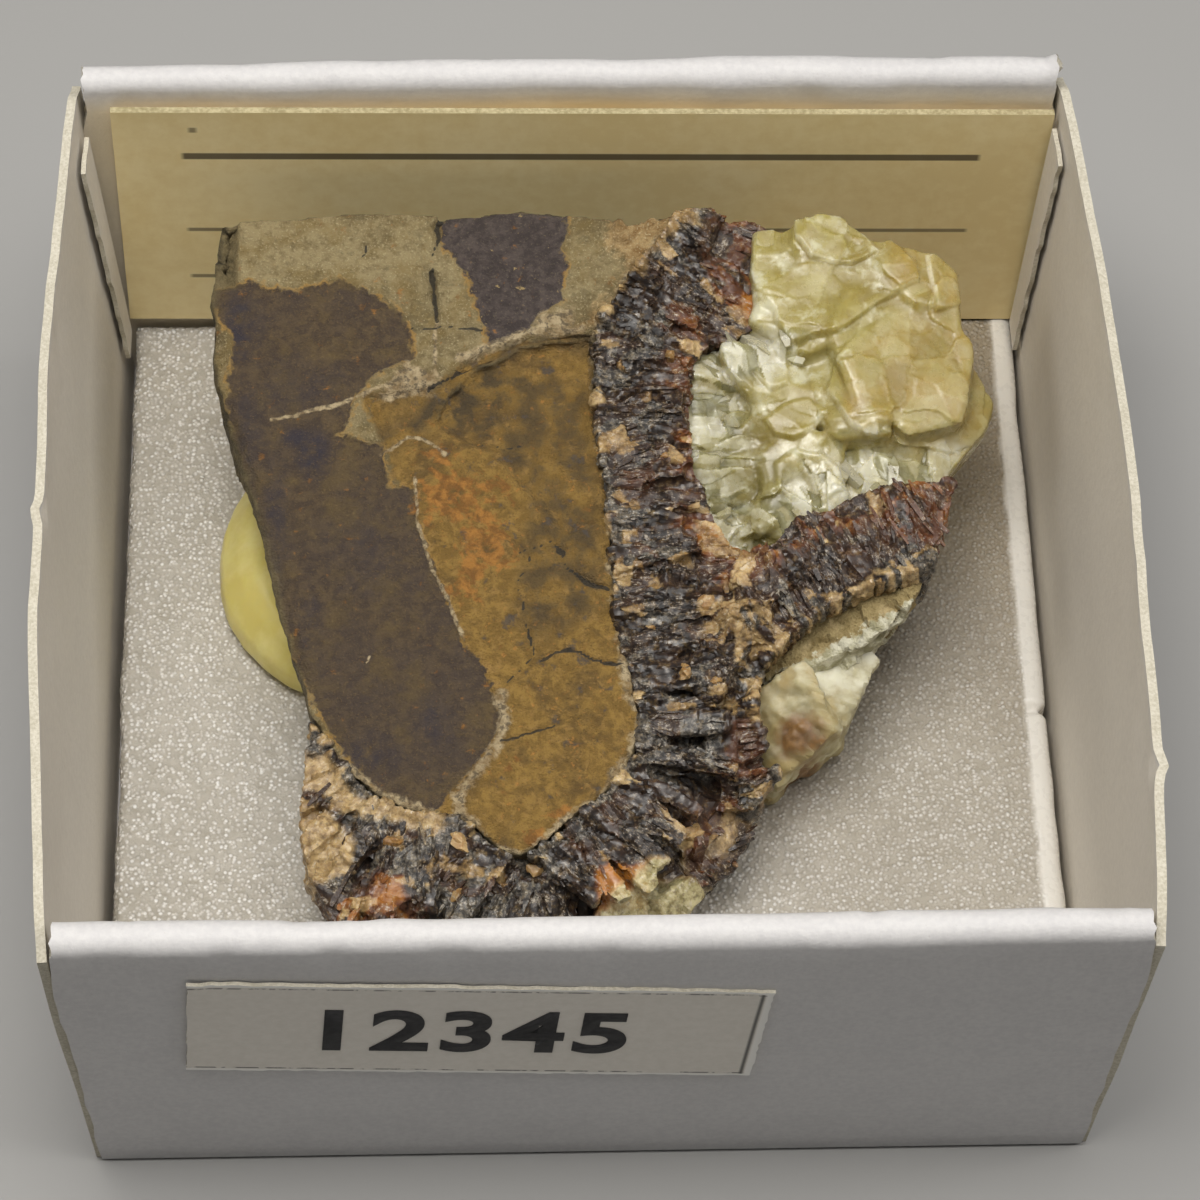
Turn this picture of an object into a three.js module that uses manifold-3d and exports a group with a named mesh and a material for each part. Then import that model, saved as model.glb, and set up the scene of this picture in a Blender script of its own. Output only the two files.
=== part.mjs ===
// A broken piece of septarian nodule, stuck with putty into a small folded card tray with a foam pad,
// a name card and a number sticker. Millimetres, +Z up, the tray's front wall towards -Y, and the
// origin under the middle of the tray's floor.
import * as THREE from "three";
import { mergeVertices } from "three/addons/utils/BufferGeometryUtils.js";
import Module from "manifold-3d";

const wasm = await Module();
wasm.setup();

const degrees = THREE.MathUtils.degToRad;
const { smoothstep, clamp } = THREE.MathUtils;

// ---- Driving dimensions ---------------------------------------------------------------------------

const tray = {
  width: 42, // outside, left to right, at the floor
  depth: 42, // outside, front to back, at the floor
  frontHeight: 21.4, // to the top of the front wall's fold
  backHeight: 21.75,
  board: 0.5, // thickness of the card
  foldedWall: 1.5, // the front and back walls are folded over on themselves
  foldInset: 0.35, // how far their folds stop short of the side walls
  sideHeight: 20.8, // the cut side walls stop a little lower
  sideInset: 0.2, // how far the side walls stop short of the front and back
  leftFlare: [0.6, 0.95], // how far the left wall leans out at the top, at its front and its back
  rightFlare: [0.7, 0.35],
  sideBow: 0.85, // and how much further both of them do so in the middle
  frontFlare: 1, // how far the front wall leans out at the top
  backBow: 0.2, // how far the middle of the back wall leans out at the top
  nub: [0.4, 0.7, 0.4], // a nick of card that the cutting tool left on each side wall's edge
  nubPlaces: [[-1, -1.7], [1, -14.2]], // which side, and how far back
};

const pad = { thickness: 4, clearance: 0.15, edgeRadius: 0.5, cornerRadius: 0.8 };
const padTop = tray.board + pad.thickness;

const nameCard = {
  width: 41,
  height: 15.2,
  thickness: 0.3,
  gap: 0.3, // to the back wall
  middle: [0.15, 12.65], // across and up
  turn: degrees(1), // its right end hangs lower
};

const sticker = {
  width: 22.8,
  height: 8.3,
  thickness: 0.15,
  gap: 0.02, // the film of glue
  middle: [-4.9, 13.6], // across and up the front wall
  turn: degrees(3.8), // its right end hangs lower
};

// The stone's own frame: u to the right, v up the broken face, w out of it, and the face is at w = 0.
const stone = {
  faceHeight: 13.6, // of the face's middle above the table
  tilt: degrees(9), // the face leans towards the front wall
  gap: 0.3, // between two minerals, and between the stone and what holds it
  deepest: -16, // a level well below the stone, and one well above it
  highest: 5,
};

const putty = { centre: [-8.9, 5.2], radius: 7.2, height: 3.8 };

// ---- Outlines on the stone's face, each point [u, v] ----------------------------------------------

// The edge of the whole face, clockwise from the upper left corner.
const faceEdge = [
  [-15.6, 16.3], [-13, 16.5], [-10, 16.9], [-6, 16.7], [-3, 16.8], [1, 16.6], [2.2, 16.2], [5, 16.7],
  [7.5, 16.7], [9.2, 15.9], [11, 16.5], [12.6, 15.5], [15.3, 14.9], [16.5, 13.6], [16.5, 11.6],
  [18, 9.9], [18.2, 8.4], [16.4, 5.2], [15.8, 2.8], [14.8, 0.2], [13.4, -1.6], [12.8, -2.8],
  [12, -4.2], [11.2, -5.8], [10, -7], [8.7, -8], [7.9, -9.2], [6.9, -11], [5.9, -12.9], [4.4, -14.8],
  [2.2, -16.8], [-1.5, -17.7], [-5.5, -17.9], [-9, -17.2], [-11, -15.2], [-11.9, -13], [-12, -10],
  [-11.7, -6.6], [-12.5, -4], [-13.6, 1], [-14.8, 5], [-15.8, 9], [-16.1, 12],
];

// Where the brown calcite grew on the mudstone, from the top edge down and round to the left edge.
const mudstoneContact = [
  [4.8, 18.5], [4.2, 16.4], [2.7, 14.2], [1.5, 12.4], [0.7, 11], [0.6, 8], [0.7, 5.6], [1, 3],
  [1.1, 0], [1.3, -3], [1.9, -5.8], [2.1, -7.4], [1.6, -9], [0.5, -10.4], [-1, -11.7], [-2.8, -13],
  [-4.2, -12.6], [-5.2, -11.5], [-7, -11.2], [-8.6, -10.5], [-10, -9.4], [-11, -8], [-11.9, -6.4],
  [-14, -5.6],
];

// Where the brown calcite gives way to the yellow crystals in the middle of the vein.
const yellowContact = [
  [8.6, 18.5], [8.5, 16.4], [8.3, 14], [8.2, 12], [7.2, 11.1], [5.4, 10.4], [4.9, 9], [4.8, 6.6],
  [4.8, 5], [5.2, 3.4], [5.7, 2], [6.7, 0.9], [7.9, 1.2], [9, 2.2], [10.6, 2.9], [12.2, 3.7],
  [14, 4.1], [16, 4], [19.5, 3],
];

// The vein's far wall: the brown calcite ends at the first line, and below the rind of mudstone
// that clings to it, which ends at the second, pale calcite shows.
const farContact = [
  [20, 3.2], [15, 0], [12.6, -0.9], [10.4, -1.9], [8.9, -2.9], [7.6, -4.2], [7, -5.9], [7.3, -7.6],
  [8.2, -9.8], [9, -12],
];
const rindEdge = [[20, 1.6], [15, -1.4], [12.8, -2.5], [11, -3.4], [9.8, -3.8], [8.4, -3.9]];

// ---- Solids from geometry, and back ---------------------------------------------------------------

function solidOf(geometry) {
  const bare = geometry.clone();
  bare.deleteAttribute("normal");
  bare.deleteAttribute("uv");
  const merged = mergeVertices(bare, 1e-4);
  return new wasm.Manifold(
    new wasm.Mesh({
      numProp: 3,
      vertProperties: merged.attributes.position.array,
      triVerts: new Uint32Array(merged.index.array),
    }),
  );
}

// The largest body of a solid, without the crumbs that a cut can leave.
function mainBody(solid) {
  return solid.decompose().reduce((most, next) => (next.volume() > most.volume() ? next : most));
}

// The solid's surface, without the slivers that many cuts and joins leave along their edges.
function geometryOf(solid) {
  const sliver = 0.02;
  const mesh = mainBody(solid).simplify(sliver).getMesh();
  return new THREE.BufferGeometry()
    .setAttribute("position", new THREE.BufferAttribute(mesh.vertProperties, 3))
    .setIndex(new THREE.BufferAttribute(mesh.triVerts, 1))
    .toNonIndexed();
}

function joined(solids) {
  return solids.reduce((whole, next) => whole.add(next));
}

// ---- Shared shapes --------------------------------------------------------------------------------

// A repeatable stream of numbers from 0 to 1.
function dice(seed) {
  let state = seed;
  return () => {
    state = (state * 1664525 + 1013904223) % 4294967296;
    return state / 4294967296;
  };
}

// A gentle unevenness between -1 and 1, with hollows about three pitches apart.
function swell(u, v, pitch) {
  const a = Math.sin((u * 1.7 + v * 0.6) / pitch + 0.4);
  const b = Math.sin((v * 1.9 - u * 0.8) / pitch + 1.9);
  return (a + b + a * b) / 3;
}

function smoothLine(points, steps) {
  const curve = new THREE.CatmullRomCurve3(points.map(([u, v]) => new THREE.Vector3(u, v, 0)));
  return curve.getSpacedPoints(steps).map((p) => [p.x, p.y]);
}

// The direction of a line at its i-th point.
function headingAt(line, i) {
  const before = line[Math.max(i - 1, 0)];
  const after = line[Math.min(i + 1, line.length - 1)];
  return Math.atan2(after[1] - before[1], after[0] - before[0]);
}

// The line moved to its left, as seen along it, or to its right for a negative distance.
function besideLine(line, distance) {
  return line.map(([u, v], i) => {
    const heading = headingAt(line, i);
    return [u - Math.sin(heading) * distance, v + Math.cos(heading) * distance];
  });
}

// Everything inside an outline on the face, from one level to another.
function prism(outline, low = stone.deepest, high = stone.highest) {
  const shape = new THREE.Shape(outline.map(([u, v]) => new THREE.Vector2(u, v)));
  const geometry = new THREE.ExtrudeGeometry(shape, { depth: high - low, bevelEnabled: false });
  return solidOf(geometry.translate(0, 0, low));
}

// A slab wider than the stone, whose top and underside follow two functions of u and v.
function reliefSlab(top, bottom, step) {
  const reach = 20;
  const cells = Math.round((2 * reach) / step);
  const geometry = new THREE.BoxGeometry(2 * reach, 2 * reach, 1, cells, cells, 1);
  const place = geometry.attributes.position;
  for (let i = 0; i < place.count; i++) {
    const [u, v] = [place.getX(i), place.getY(i)];
    place.setZ(i, place.getZ(i) > 0 ? top(u, v) : bottom(u, v));
  }
  return geometry;
}

// A cleavage block of calcite: a box pushed over into a rhomb, then turned.
function rhomb([u, v, w], [length, width, height], [turnU, turnV, turnW]) {
  const pushedOver = new THREE.Matrix4().makeShear(0, 0.26, 0.2, 0, 0.12, 0.26);
  return solidOf(
    new THREE.BoxGeometry(length, width, height)
      .applyMatrix4(pushedOver)
      .rotateX(degrees(turnU))
      .rotateY(degrees(turnV))
      .rotateZ(degrees(turnW))
      .translate(u, v, w),
  );
}

// ---- The stone's whole form -----------------------------------------------------------------------

const toTray = new THREE.Matrix4()
  .makeRotationX(stone.tilt)
  .setPosition(0, 0, stone.faceHeight);

// The level w, on the stone, of a plane that lies level at a height above the table.
function levelPlane(height, v) {
  return (height - stone.faceHeight - v * Math.sin(stone.tilt)) / Math.cos(stone.tilt);
}

// The underside rests on the pad in the middle, and rises towards the left, the right and the front.
function underside(u, v) {
  const leftRise = 2.8 * smoothstep(-u, 2, 14);
  const rightRise = 2.2 * smoothstep(u, 8, 17);
  const frontRise = 1.4 * smoothstep(-v, 11, 18);
  const roughness = 0.4 * Math.max(0, swell(u, v, 2.3)) * smoothstep(Math.hypot(u - 1, v - 1), 4, 8);
  return levelPlane(padTop + stone.gap, v) + Math.max(leftRise, rightRise, frontRise) + roughness;
}

// The face's edge carried downwards, drawn in a little with depth and left uneven, as broken.
function brokenSides() {
  const outline = smoothLine([...faceEdge, faceEdge[0]], 84).slice(0, -1);
  const shape = new THREE.Shape(outline.map(([u, v]) => new THREE.Vector2(u, v)));
  const depth = stone.highest - stone.deepest;
  const geometry = new THREE.ExtrudeGeometry(shape, { depth, steps: 7, bevelEnabled: false });
  geometry.translate(0, 0, stone.deepest);
  const place = geometry.attributes.position;
  for (let i = 0; i < place.count; i++) {
    const [u, v, w] = [place.getX(i), place.getY(i), place.getZ(i)];
    const below = Math.max(0, -w);
    const uneven = 0.035 * swell(u * 1.3 + w, v - w * 1.4, 2.1) * Math.min(1, below / 3);
    const drawnIn = 1 - 0.012 * below + uneven;
    place.setXY(i, u * drawnIn, v * drawnIn);
  }
  return solidOf(geometry);
}

const sides = brokenSides();
const aboveUnderside = solidOf(reliefSlab(() => stone.highest, underside, 2));

// ---- Mudstone -------------------------------------------------------------------------------------

function mudstone() {
  const contact = besideLine(smoothLine(mudstoneContact, 60), -stone.gap / 2);
  const region = prism([...contact, [-22, -5.6], [-22, 18.5]]);
  const face = solidOf(reliefSlab((u, v) => 0.07 * swell(u, v, 1.7), underside, 2));
  // The ochre heart lies a step below the vein that crosses the face.
  const heart = prism(
    [[-6.4, 7], [-4.9, 9], [-2.6, 10.3], [0.4, 10.7], [1.2, 6], [1.2, 2], [-1, 1.4], [-4, 5]],
    -0.3,
  );
  const crack = prism(
    [
      [-5.7, 17], [-6.2, 14.8], [-6.4, 13], [-6.1, 11.5], [-6.4, 11.5], [-6.8, 13], [-6.6, 14.8],
      [-6.1, 17],
    ],
    -0.5,
  );
  const chip = new THREE.BoxGeometry(3, 4, 8)
    .rotateY(degrees(-38))
    .rotateZ(degrees(-14))
    .translate(-17.1, 15.3, -0.9);
  const cuts = joined([heart, crack, solidOf(chip), wornEdge()]);
  return region.intersect(face).intersect(sides).subtract(cuts);
}

// The worn edge down the stone's left side, as a row of sloping flats to be cut away.
function wornEdge() {
  const line = [[-16.2, 13.6], [-16.2, 11], [-15.6, 7.8], [-14.5, 3.6], [-13.3, -1], [-12, -5.8]];
  const flats = line.slice(1).map(([u, v], i) => {
    const [fromU, fromV] = line[i];
    return solidOf(
      new THREE.BoxGeometry(Math.hypot(u - fromU, v - fromV) + 0.8, 2, 2)
        .translate(0, -1, 1)
        .rotateX(degrees(-40 - 5 * (i % 2)))
        .translate(0, 0.35, -0.35)
        .rotateZ(Math.atan2(v - fromV, u - fromU))
        .translate((u + fromU) / 2, (v + fromV) / 2, 0),
    );
  });
  return joined(flats);
}

// The rind of mudstone on the vein's far wall.
function mudstoneRind() {
  const upper = besideLine(smoothLine(farContact.slice(0, 6), 24), stone.gap / 2);
  const lower = besideLine(smoothLine(rindEdge, 18), -stone.gap / 2).reverse();
  const region = prism([...upper, ...lower]);
  const face = reliefSlab((u, v) => -1.2 - 0.28 * (14 - u) + 0.15 * swell(u, v, 1.1), underside, 2);
  return region.intersect(solidOf(face)).intersect(sides);
}

// ---- Brown calcite --------------------------------------------------------------------------------

// How far the surface has fallen below the face, towards the lower right and towards the foot.
function fall(u, v) {
  const outward = clamp((u * 0.8 - v * 0.62 - 6.5) / 6, 0, 1) * smoothstep(-v, 1, 7);
  const footward = clamp((-v - 12.5) / 6, 0, 1);
  return 3.2 * outward + 2 * footward;
}

// One blade, from its root on the mudstone to its tip.
function blade([u, v], heading, length, width, lift, rise) {
  return new THREE.CylinderGeometry(width * 0.3, width * 0.66, length, 4, 1)
    .rotateY(Math.PI / 4)
    .translate(0, length / 2, 0)
    .scale(1, 1, 0.8)
    .rotateX(rise)
    .rotateZ(heading - Math.PI / 2)
    .translate(u, v, lift);
}

// Blades side by side along a line, each growing away to the left of it.
function bladeRow(line, count, reach, seed) {
  const roll = dice(seed);
  const roots = besideLine(smoothLine(line, count), -0.3);
  return roots.slice(1, -1).map((root, i) => {
    const heading = headingAt(roots, i + 1) + Math.PI / 2 + (roll() - 0.5) * 0.3;
    const length = reach * (0.75 + 0.35 * roll());
    const width = 1.1 + 0.6 * roll();
    const drop = fall(root[0], root[1]);
    const rise = (roll() - 0.5) * 0.12 - drop * 0.03;
    return solidOf(blade(root, heading, length, width, -0.35 - drop - 0.25 * roll(), rise));
  });
}

// Lumps of calcite that stand a little proud of the blades.
function lumps(places, size, seed) {
  const roll = dice(seed);
  return places.map(([u, v]) => {
    const turns = [60 * roll(), 60 * roll(), 90 * roll()];
    const [length, width, height] = [0.9, 0.7, 0.8].map((share) => size * (share + 0.3 * roll()));
    return rhomb([u, v, -0.4 - fall(u, v)], [length, width, height], turns);
  });
}

function brownCalcite() {
  const inner = besideLine(smoothLine(mudstoneContact, 60), stone.gap / 2);
  const outer = besideLine(smoothLine(yellowContact, 50), -stone.gap / 2);
  const far = besideLine(smoothLine(farContact, 40), -stone.gap / 2);
  const afterMudstone = prism([...inner, [-14, -22], [22, -22], [22, 18.5]]);
  const beforeYellow = prism([...outer, [22, 3], [22, -22], [-22, -22], [-22, 18.5]]);
  const beyondFarWall = prism([...far, [22, -12], [22, 3.2]]);

  const bed = reliefSlab((u, v) => -0.75 - fall(u, v) + 0.2 * swell(u, v, 0.9), underside, 2);
  const crust = [[0.9, 11.8], [1.9, 13.1], [3.1, 14.5], [4.2, 15.4], [5.2, 15.9]];
  const nubs = [[4.3, -11.4], [4, -5], [5, -1.8], [3.4, -0.8], [-8.2, -12.4], [-5.4, -12.5], [-5.6, -14.4]];
  const meeting = [[5.4, -4.4], [6.3, -2.6], [6.6, -6.2], [7.4, -1.2], [5.8, -7.6], [8.2, -0.4], [6.4, -9.4]];
  const foot = [[-10.6, -14.6], [-8.3, -14.6], [-2.6, -14.8], [0.9, -14.6], [3, -14.4], [1.8, -16]];
  const parts = [
    solidOf(bed),
    ...bladeRow(mudstoneContact.slice(1, 16), 34, 4.4, 11),
    ...bladeRow(mudstoneContact.slice(15, 23), 11, 4.6, 5),
    ...bladeRow([[7.2, -4.4], [9.6, -2.4], [12, -1.3], [15.8, 0.5]], 11, 4.6, 23),
    ...lumps(crust, 1.6, 3),
    ...lumps(nubs, 1.1, 17),
    ...lumps(meeting, 1.9, 29),
    ...lumps(foot, 2.2, 41),
  ];
  const grown = joined(parts.map((part) => part.intersect(sides)));
  return grown.intersect(afterMudstone).intersect(beforeYellow).subtract(beyondFarWall);
}

// ---- Yellow and pale calcite ----------------------------------------------------------------------

// One cleavage facet: its outline on the face, its level in the middle, and how steeply it leans up
// to the right and up to the back, in degrees.
function facet(outline, level, leanU, leanV) {
  const shape = new THREE.Shape(outline.map(([u, v]) => new THREE.Vector2(u, v)));
  const depth = level - stone.deepest;
  const geometry = new THREE.ExtrudeGeometry(shape, { depth, bevelEnabled: false });
  geometry.translate(0, 0, stone.deepest);
  const middleU = outline.reduce((sum, [u]) => sum + u, 0) / outline.length;
  const middleV = outline.reduce((sum, [, v]) => sum + v, 0) / outline.length;
  const place = geometry.attributes.position;
  for (let i = 0; i < place.count; i++) {
    const rise =
      Math.tan(degrees(leanU)) * (place.getX(i) - middleU) +
      Math.tan(degrees(leanV)) * (place.getY(i) - middleV);
    if (place.getZ(i) > level - 0.01) place.setZ(i, level + rise);
  }
  return solidOf(geometry);
}

const yellowFacets = [
  // The lemon crystal at the top, and the honey mass below and to the right of it.
  [[[9.4, 15], [10.6, 16.6], [11.3, 17], [13.2, 15.2], [12.1, 14.1], [10, 14.1]], 0.3, -6, 14],
  [[[12.4, 15.8], [17, 15.4], [17.2, 12.2], [14.6, 12.2], [13.2, 13.8]], -0.3, -20, -10],
  [[[8, 15.2], [12.3, 14.5], [13.6, 15.2], [14.8, 13.4], [13.4, 12], [10.8, 12.6], [8, 13]], 0, 4, 8],
  [[[7.8, 13.4], [10.8, 13], [12.4, 12.2], [11.4, 10.6], [10, 10.1], [8.9, 10.3], [7.8, 12]], -0.3, 6, 4],
  [[[11.8, 12.7], [16.6, 12.6], [17, 10], [16.2, 6.9], [14, 6.4], [12, 7.5], [11, 10.7]], -0.5, -7, 6],
  [[[11.4, 10.9], [12.4, 7.6], [13.2, 6.2], [11, 6.4], [10.2, 8], [9.2, 9.4], [9.9, 10.4]], -0.95, 12, -4],
  [[[15.8, 10.3], [18, 10], [18, 6], [16, 5.2], [15.4, 7]], -2.5, -26, 4],
  // The lemon steps and the white fibrous crystals on the left.
  [[[7.4, 8.5], [9.1, 8.3], [9.6, 9.3], [8.9, 10.4], [6.4, 10.6], [6.3, 9.8], [7, 8.8]], -0.85, -8, 12],
  [[[7.6, 7.6], [8.3, 6.4], [9.8, 6.9], [10.8, 7.4], [10.4, 8.4], [9.2, 8.7], [7.6, 8.7]], -1.2, 8, 14],
  [[[5.2, 10.2], [7.2, 11.5], [8.5, 12.2], [9, 10.4], [8.6, 9.8], [6.2, 9.8]], -1.3, 14, -8],
  [[[4, 9.3], [5.4, 10.6], [6.4, 10], [7.2, 8.9], [7.8, 7.7], [6.8, 6.4], [4, 5.8]], -1.6, -16, 10],
  // The grey-green glassy crystals, the pale greenish mass and the pointed ones above the far wall.
  [[[4, 6.1], [6.8, 6.7], [7.7, 7.8], [8.4, 6.6], [8, 5.6], [6.4, 5.2], [4, 5.2]], -2.3, 12, 22],
  [[[4, 5.4], [7.6, 5.8], [8, 4.8], [6.8, 4.1], [4, 3.8]], -1.9, -20, 26],
  [[[5.9, 2.9], [7, 5], [8.3, 4.5], [8.3, 2.8], [6.8, 2.3]], -2.7, 24, -20],
  [[[7.7, 5.8], [9.4, 6.6], [11.1, 6.2], [11.1, 3.8], [9.8, 2.4], [8.2, 2.4], [8, 4.6]], -1.9, 6, 16],
  [[[10.8, 6.8], [13, 6.8], [12.7, 4.4], [10.8, 2.8]], -2.2, 16, 12],
  [[[12.7, 7], [14.4, 7.1], [14.7, 3.6], [12.6, 3.4]], -1.95, -14, 10],
  [[[14.2, 6.9], [16.4, 7.1], [17, 5], [16, 3.4], [14.5, 3.4]], -2.4, -18, 6],
  [[[4.8, 4.1], [6.8, 3.2], [7.4, 1.4], [6.6, 0], [5, 2]], -2.9, -14, 24],
];

function yellowCalcite() {
  const contact = besideLine(smoothLine(yellowContact, 44), stone.gap / 2);
  const region = prism([...contact, [22, 3], [22, 18.5]]);
  const bed = prism([[2, -2], [22, -2], [22, 18.5], [2, 18.5]], stone.deepest, -3.2);
  const grown = joined([bed, ...yellowFacets.map((one) => facet(...one))]);
  return grown.intersect(region).intersect(sides).intersect(aboveUnderside);
}

// Pale and amber calcite below the rind, on the outside of the vein.
function paleCalcite() {
  const upper = besideLine(smoothLine(rindEdge, 18), stone.gap / 2);
  const inner = besideLine(smoothLine(farContact, 40), stone.gap / 2).filter(([, v]) => v < -4.4);
  const region = prism([...upper, ...inner, [22, -12], [22, 1.6]]);
  const top = (u, v) => -4.4 - 0.5 * swell(u, v, 1);
  const blocks = [
    rhomb([8.6, -5.9, -4.2], [3, 2.8, 3], [12, -16, 30]),
    rhomb([10.6, -4.9, -4.3], [2.6, 2.4, 2.8], [-18, 14, 12]),
    rhomb([12.2, -3.7, -4.4], [2.6, 1.8, 2.6], [10, 22, 40]),
  ];
  const grown = joined([solidOf(reliefSlab(top, underside, 2)), ...blocks]);
  return grown.intersect(region).intersect(sides);
}

// ---- Tray, pad, card, sticker and putty -----------------------------------------------------------

// How far the left (-1) or right (1) wall stands out of the upright, at a place along it, from -1 at
// the front to 1 at the back, and at a share of its height.
function sideLean(side, along, up) {
  const [front, back] = side < 0 ? tray.leftFlare : tray.rightFlare;
  const flare = front + ((back - front) * (along + 1)) / 2;
  return flare * up + tray.sideBow * (1 - along ** 2) * up ** 1.4;
}

// The front (-1) or back (1) wall: folded over on itself, with a round top that leans out by the
// flare, and by the bow as well in the middle.
function foldedWall(end, height, flare, bow) {
  const { foldedWall: thickness, board, width, depth } = tray;
  const radius = thickness / 2;
  const section = new THREE.Shape();
  section.moveTo(0, 0);
  section.lineTo(0, height - 3);
  section.lineTo(0, height - radius);
  section.absarc(radius, height - radius, radius, Math.PI, 0, true);
  section.lineTo(thickness, height - 3);
  section.lineTo(thickness, 0);
  section.closePath();
  const geometry = new THREE.ExtrudeGeometry(section, {
    depth: 2,
    steps: bow > 0 ? 8 : 1,
    bevelEnabled: false,
    curveSegments: 7,
  });
  const place = geometry.attributes.position;
  for (let i = 0; i < place.count; i++) {
    const across = place.getZ(i) - 1;
    const side = -end * Math.sign(across);
    const up = place.getY(i) / height;
    const inset = tray.foldInset * smoothstep(up, 0.87, 0.93);
    place.setX(i, place.getX(i) - (flare + bow * (1 - across ** 2)) * up);
    place.setZ(i, across * ((width - board) / 2 + sideLean(side, end, up) - inset));
  }
  return geometry
    .rotateX(Math.PI / 2)
    .rotateZ(Math.PI / 2)
    .translate(0, -depth / 2, 0)
    .rotateZ(end < 0 ? 0 : Math.PI);
}

// A side wall: one cut board, with its upper corners rounded off.
function sideWall(side) {
  const { board, depth, width, sideHeight, sideInset, frontFlare } = tray;
  const half = depth / 2 - sideInset;
  const geometry = new THREE.BoxGeometry(board, 2, 1, 1, 20, 3).translate(0, 0, 0.5);
  const place = geometry.attributes.position;
  for (let i = 0; i < place.count; i++) {
    const along = place.getY(i);
    const up = place.getZ(i);
    place.setX(i, place.getX(i) + side * ((width - board) / 2 + sideLean(side, along, up)));
    place.setY(i, along * (half + (along < 0 ? frontFlare * up : 0)));
    place.setZ(i, up * (sideHeight - 0.7 * smoothstep(Math.abs(along), 0.9, 1)));
  }
  return solidOf(geometry);
}

function nub([side, y]) {
  const { board, depth, width, sideHeight } = tray;
  const out = (width + board) / 2 + sideLean(side, (2 * y) / depth, 1);
  return solidOf(new THREE.BoxGeometry(...tray.nub).translate(side * (out - 0.3), y, sideHeight - 0.3));
}

function trayBody() {
  const { width, depth, board, frontHeight, backHeight, frontFlare, backBow } = tray;
  const floor = new THREE.BoxGeometry(width - board, depth - 2 * board, board).translate(0, 0, board / 2);
  return joined([
    solidOf(floor),
    solidOf(foldedWall(-1, frontHeight, frontFlare, 0)),
    solidOf(foldedWall(1, backHeight, 0, backBow)),
    sideWall(-1),
    sideWall(1),
    ...tray.nubPlaces.map(nub),
  ]);
}

// The pad, with its corners and its upper and lower edges rounded.
function foamPad() {
  const { thickness, clearance, edgeRadius, cornerRadius } = pad;
  const halfX = tray.width / 2 - tray.board - clearance - edgeRadius;
  const halfY = tray.depth / 2 - tray.foldedWall - clearance - edgeRadius;
  const outline = new THREE.Shape();
  outline.moveTo(-halfX, -halfY + cornerRadius);
  for (const [x, y, start] of [[-1, -1, 2], [1, -1, 3], [1, 1, 0], [-1, 1, 1]]) {
    const centre = [x * (halfX - cornerRadius), y * (halfY - cornerRadius)];
    outline.absarc(...centre, cornerRadius, (start * Math.PI) / 2, ((start + 1) * Math.PI) / 2, false);
  }
  return new THREE.ExtrudeGeometry(outline, {
    depth: thickness - 2 * edgeRadius,
    bevelSize: edgeRadius,
    bevelThickness: edgeRadius,
    bevelSegments: 2,
    curveSegments: 3,
  }).translate(0, 0, tray.board + edgeRadius);
}

// A pressed ball of putty, hollowed where the stone sits in it.
function puttyDisc() {
  const { centre, radius, height } = putty;
  const profile = [
    [0, 0], [radius - 0.5, 0], [radius - 0.05, 0.7], [radius - 0.2, 1.6], [radius - 1, 2.5],
    [radius - 2.3, 3.3], [radius - 4, height], [0, height],
  ];
  const disc = new THREE.LatheGeometry(profile.map(([x, y]) => new THREE.Vector2(x, y)), 32)
    .rotateX(Math.PI / 2)
    .translate(centre[0], centre[1], padTop);
  const hollow = reliefSlab(() => stone.highest, (u, v) => underside(u, v) - stone.gap, 2);
  return solidOf(disc).subtract(solidOf(hollow.applyMatrix4(toTray)));
}

// ---- The whole thing ------------------------------------------------------------------------------

function mesh(name, geometry, colour, roughness) {
  const material = new THREE.MeshStandardMaterial({ color: colour, roughness, metalness: 0 });
  const made = new THREE.Mesh(geometry, material);
  made.name = name;
  return made;
}

const specimen = new THREE.Group();
specimen.applyMatrix4(toTray);
specimen.add(
  mesh("mudstone", geometryOf(mudstone()), 0x7d6a4a, 0.85),
  mesh("mudstone_rind", geometryOf(mudstoneRind()), 0xa08a58, 0.85),
  mesh("brown_calcite", geometryOf(brownCalcite()), 0x3a2720, 0.4),
  mesh("yellow_calcite", geometryOf(yellowCalcite()), 0xd2c888, 0.3),
  mesh("pale_calcite", geometryOf(paleCalcite()), 0xcfc8a0, 0.3),
);

const label = mesh(
  "name_label",
  new THREE.BoxGeometry(nameCard.width, nameCard.thickness, nameCard.height),
  0xd8c99a,
  0.7,
);
label.rotation.y = nameCard.turn;
label.position.set(
  nameCard.middle[0],
  tray.depth / 2 - tray.foldedWall - nameCard.gap - nameCard.thickness / 2,
  nameCard.middle[1],
);

const number = mesh(
  "number_sticker",
  new THREE.BoxGeometry(sticker.width, sticker.thickness, sticker.height),
  0xe4e0d6,
  0.6,
);
number.rotation.y = sticker.turn;
number.position.set(sticker.middle[0], -sticker.gap - sticker.thickness / 2, sticker.middle[1]);
// The front wall's own frame, which leans out with it.
const onFrontWall = new THREE.Group();
onFrontWall.rotation.x = Math.atan(tray.frontFlare / tray.frontHeight);
onFrontWall.position.y = -tray.depth / 2;
onFrontWall.add(number);

const part = new THREE.Group();
part.add(
  mesh("tray", geometryOf(trayBody()), 0xf0eeea, 0.7),
  mesh("foam_pad", foamPad(), 0xe6e2d8, 0.6),
  mesh("putty", geometryOf(puttyDisc()), 0xb8ad50, 0.5),
  label,
  onFrontWall,
  specimen,
);

export default part;
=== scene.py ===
# A piece of septarian nodule, stuck with putty on the foam pad of a small card tray.
# Sizes in the dictionaries are millimetres; the meshes are in metres.
import math

import bpy
import numpy as np
from mathutils import Matrix, Vector
from mathutils.bvhtree import BVHTree


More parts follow.
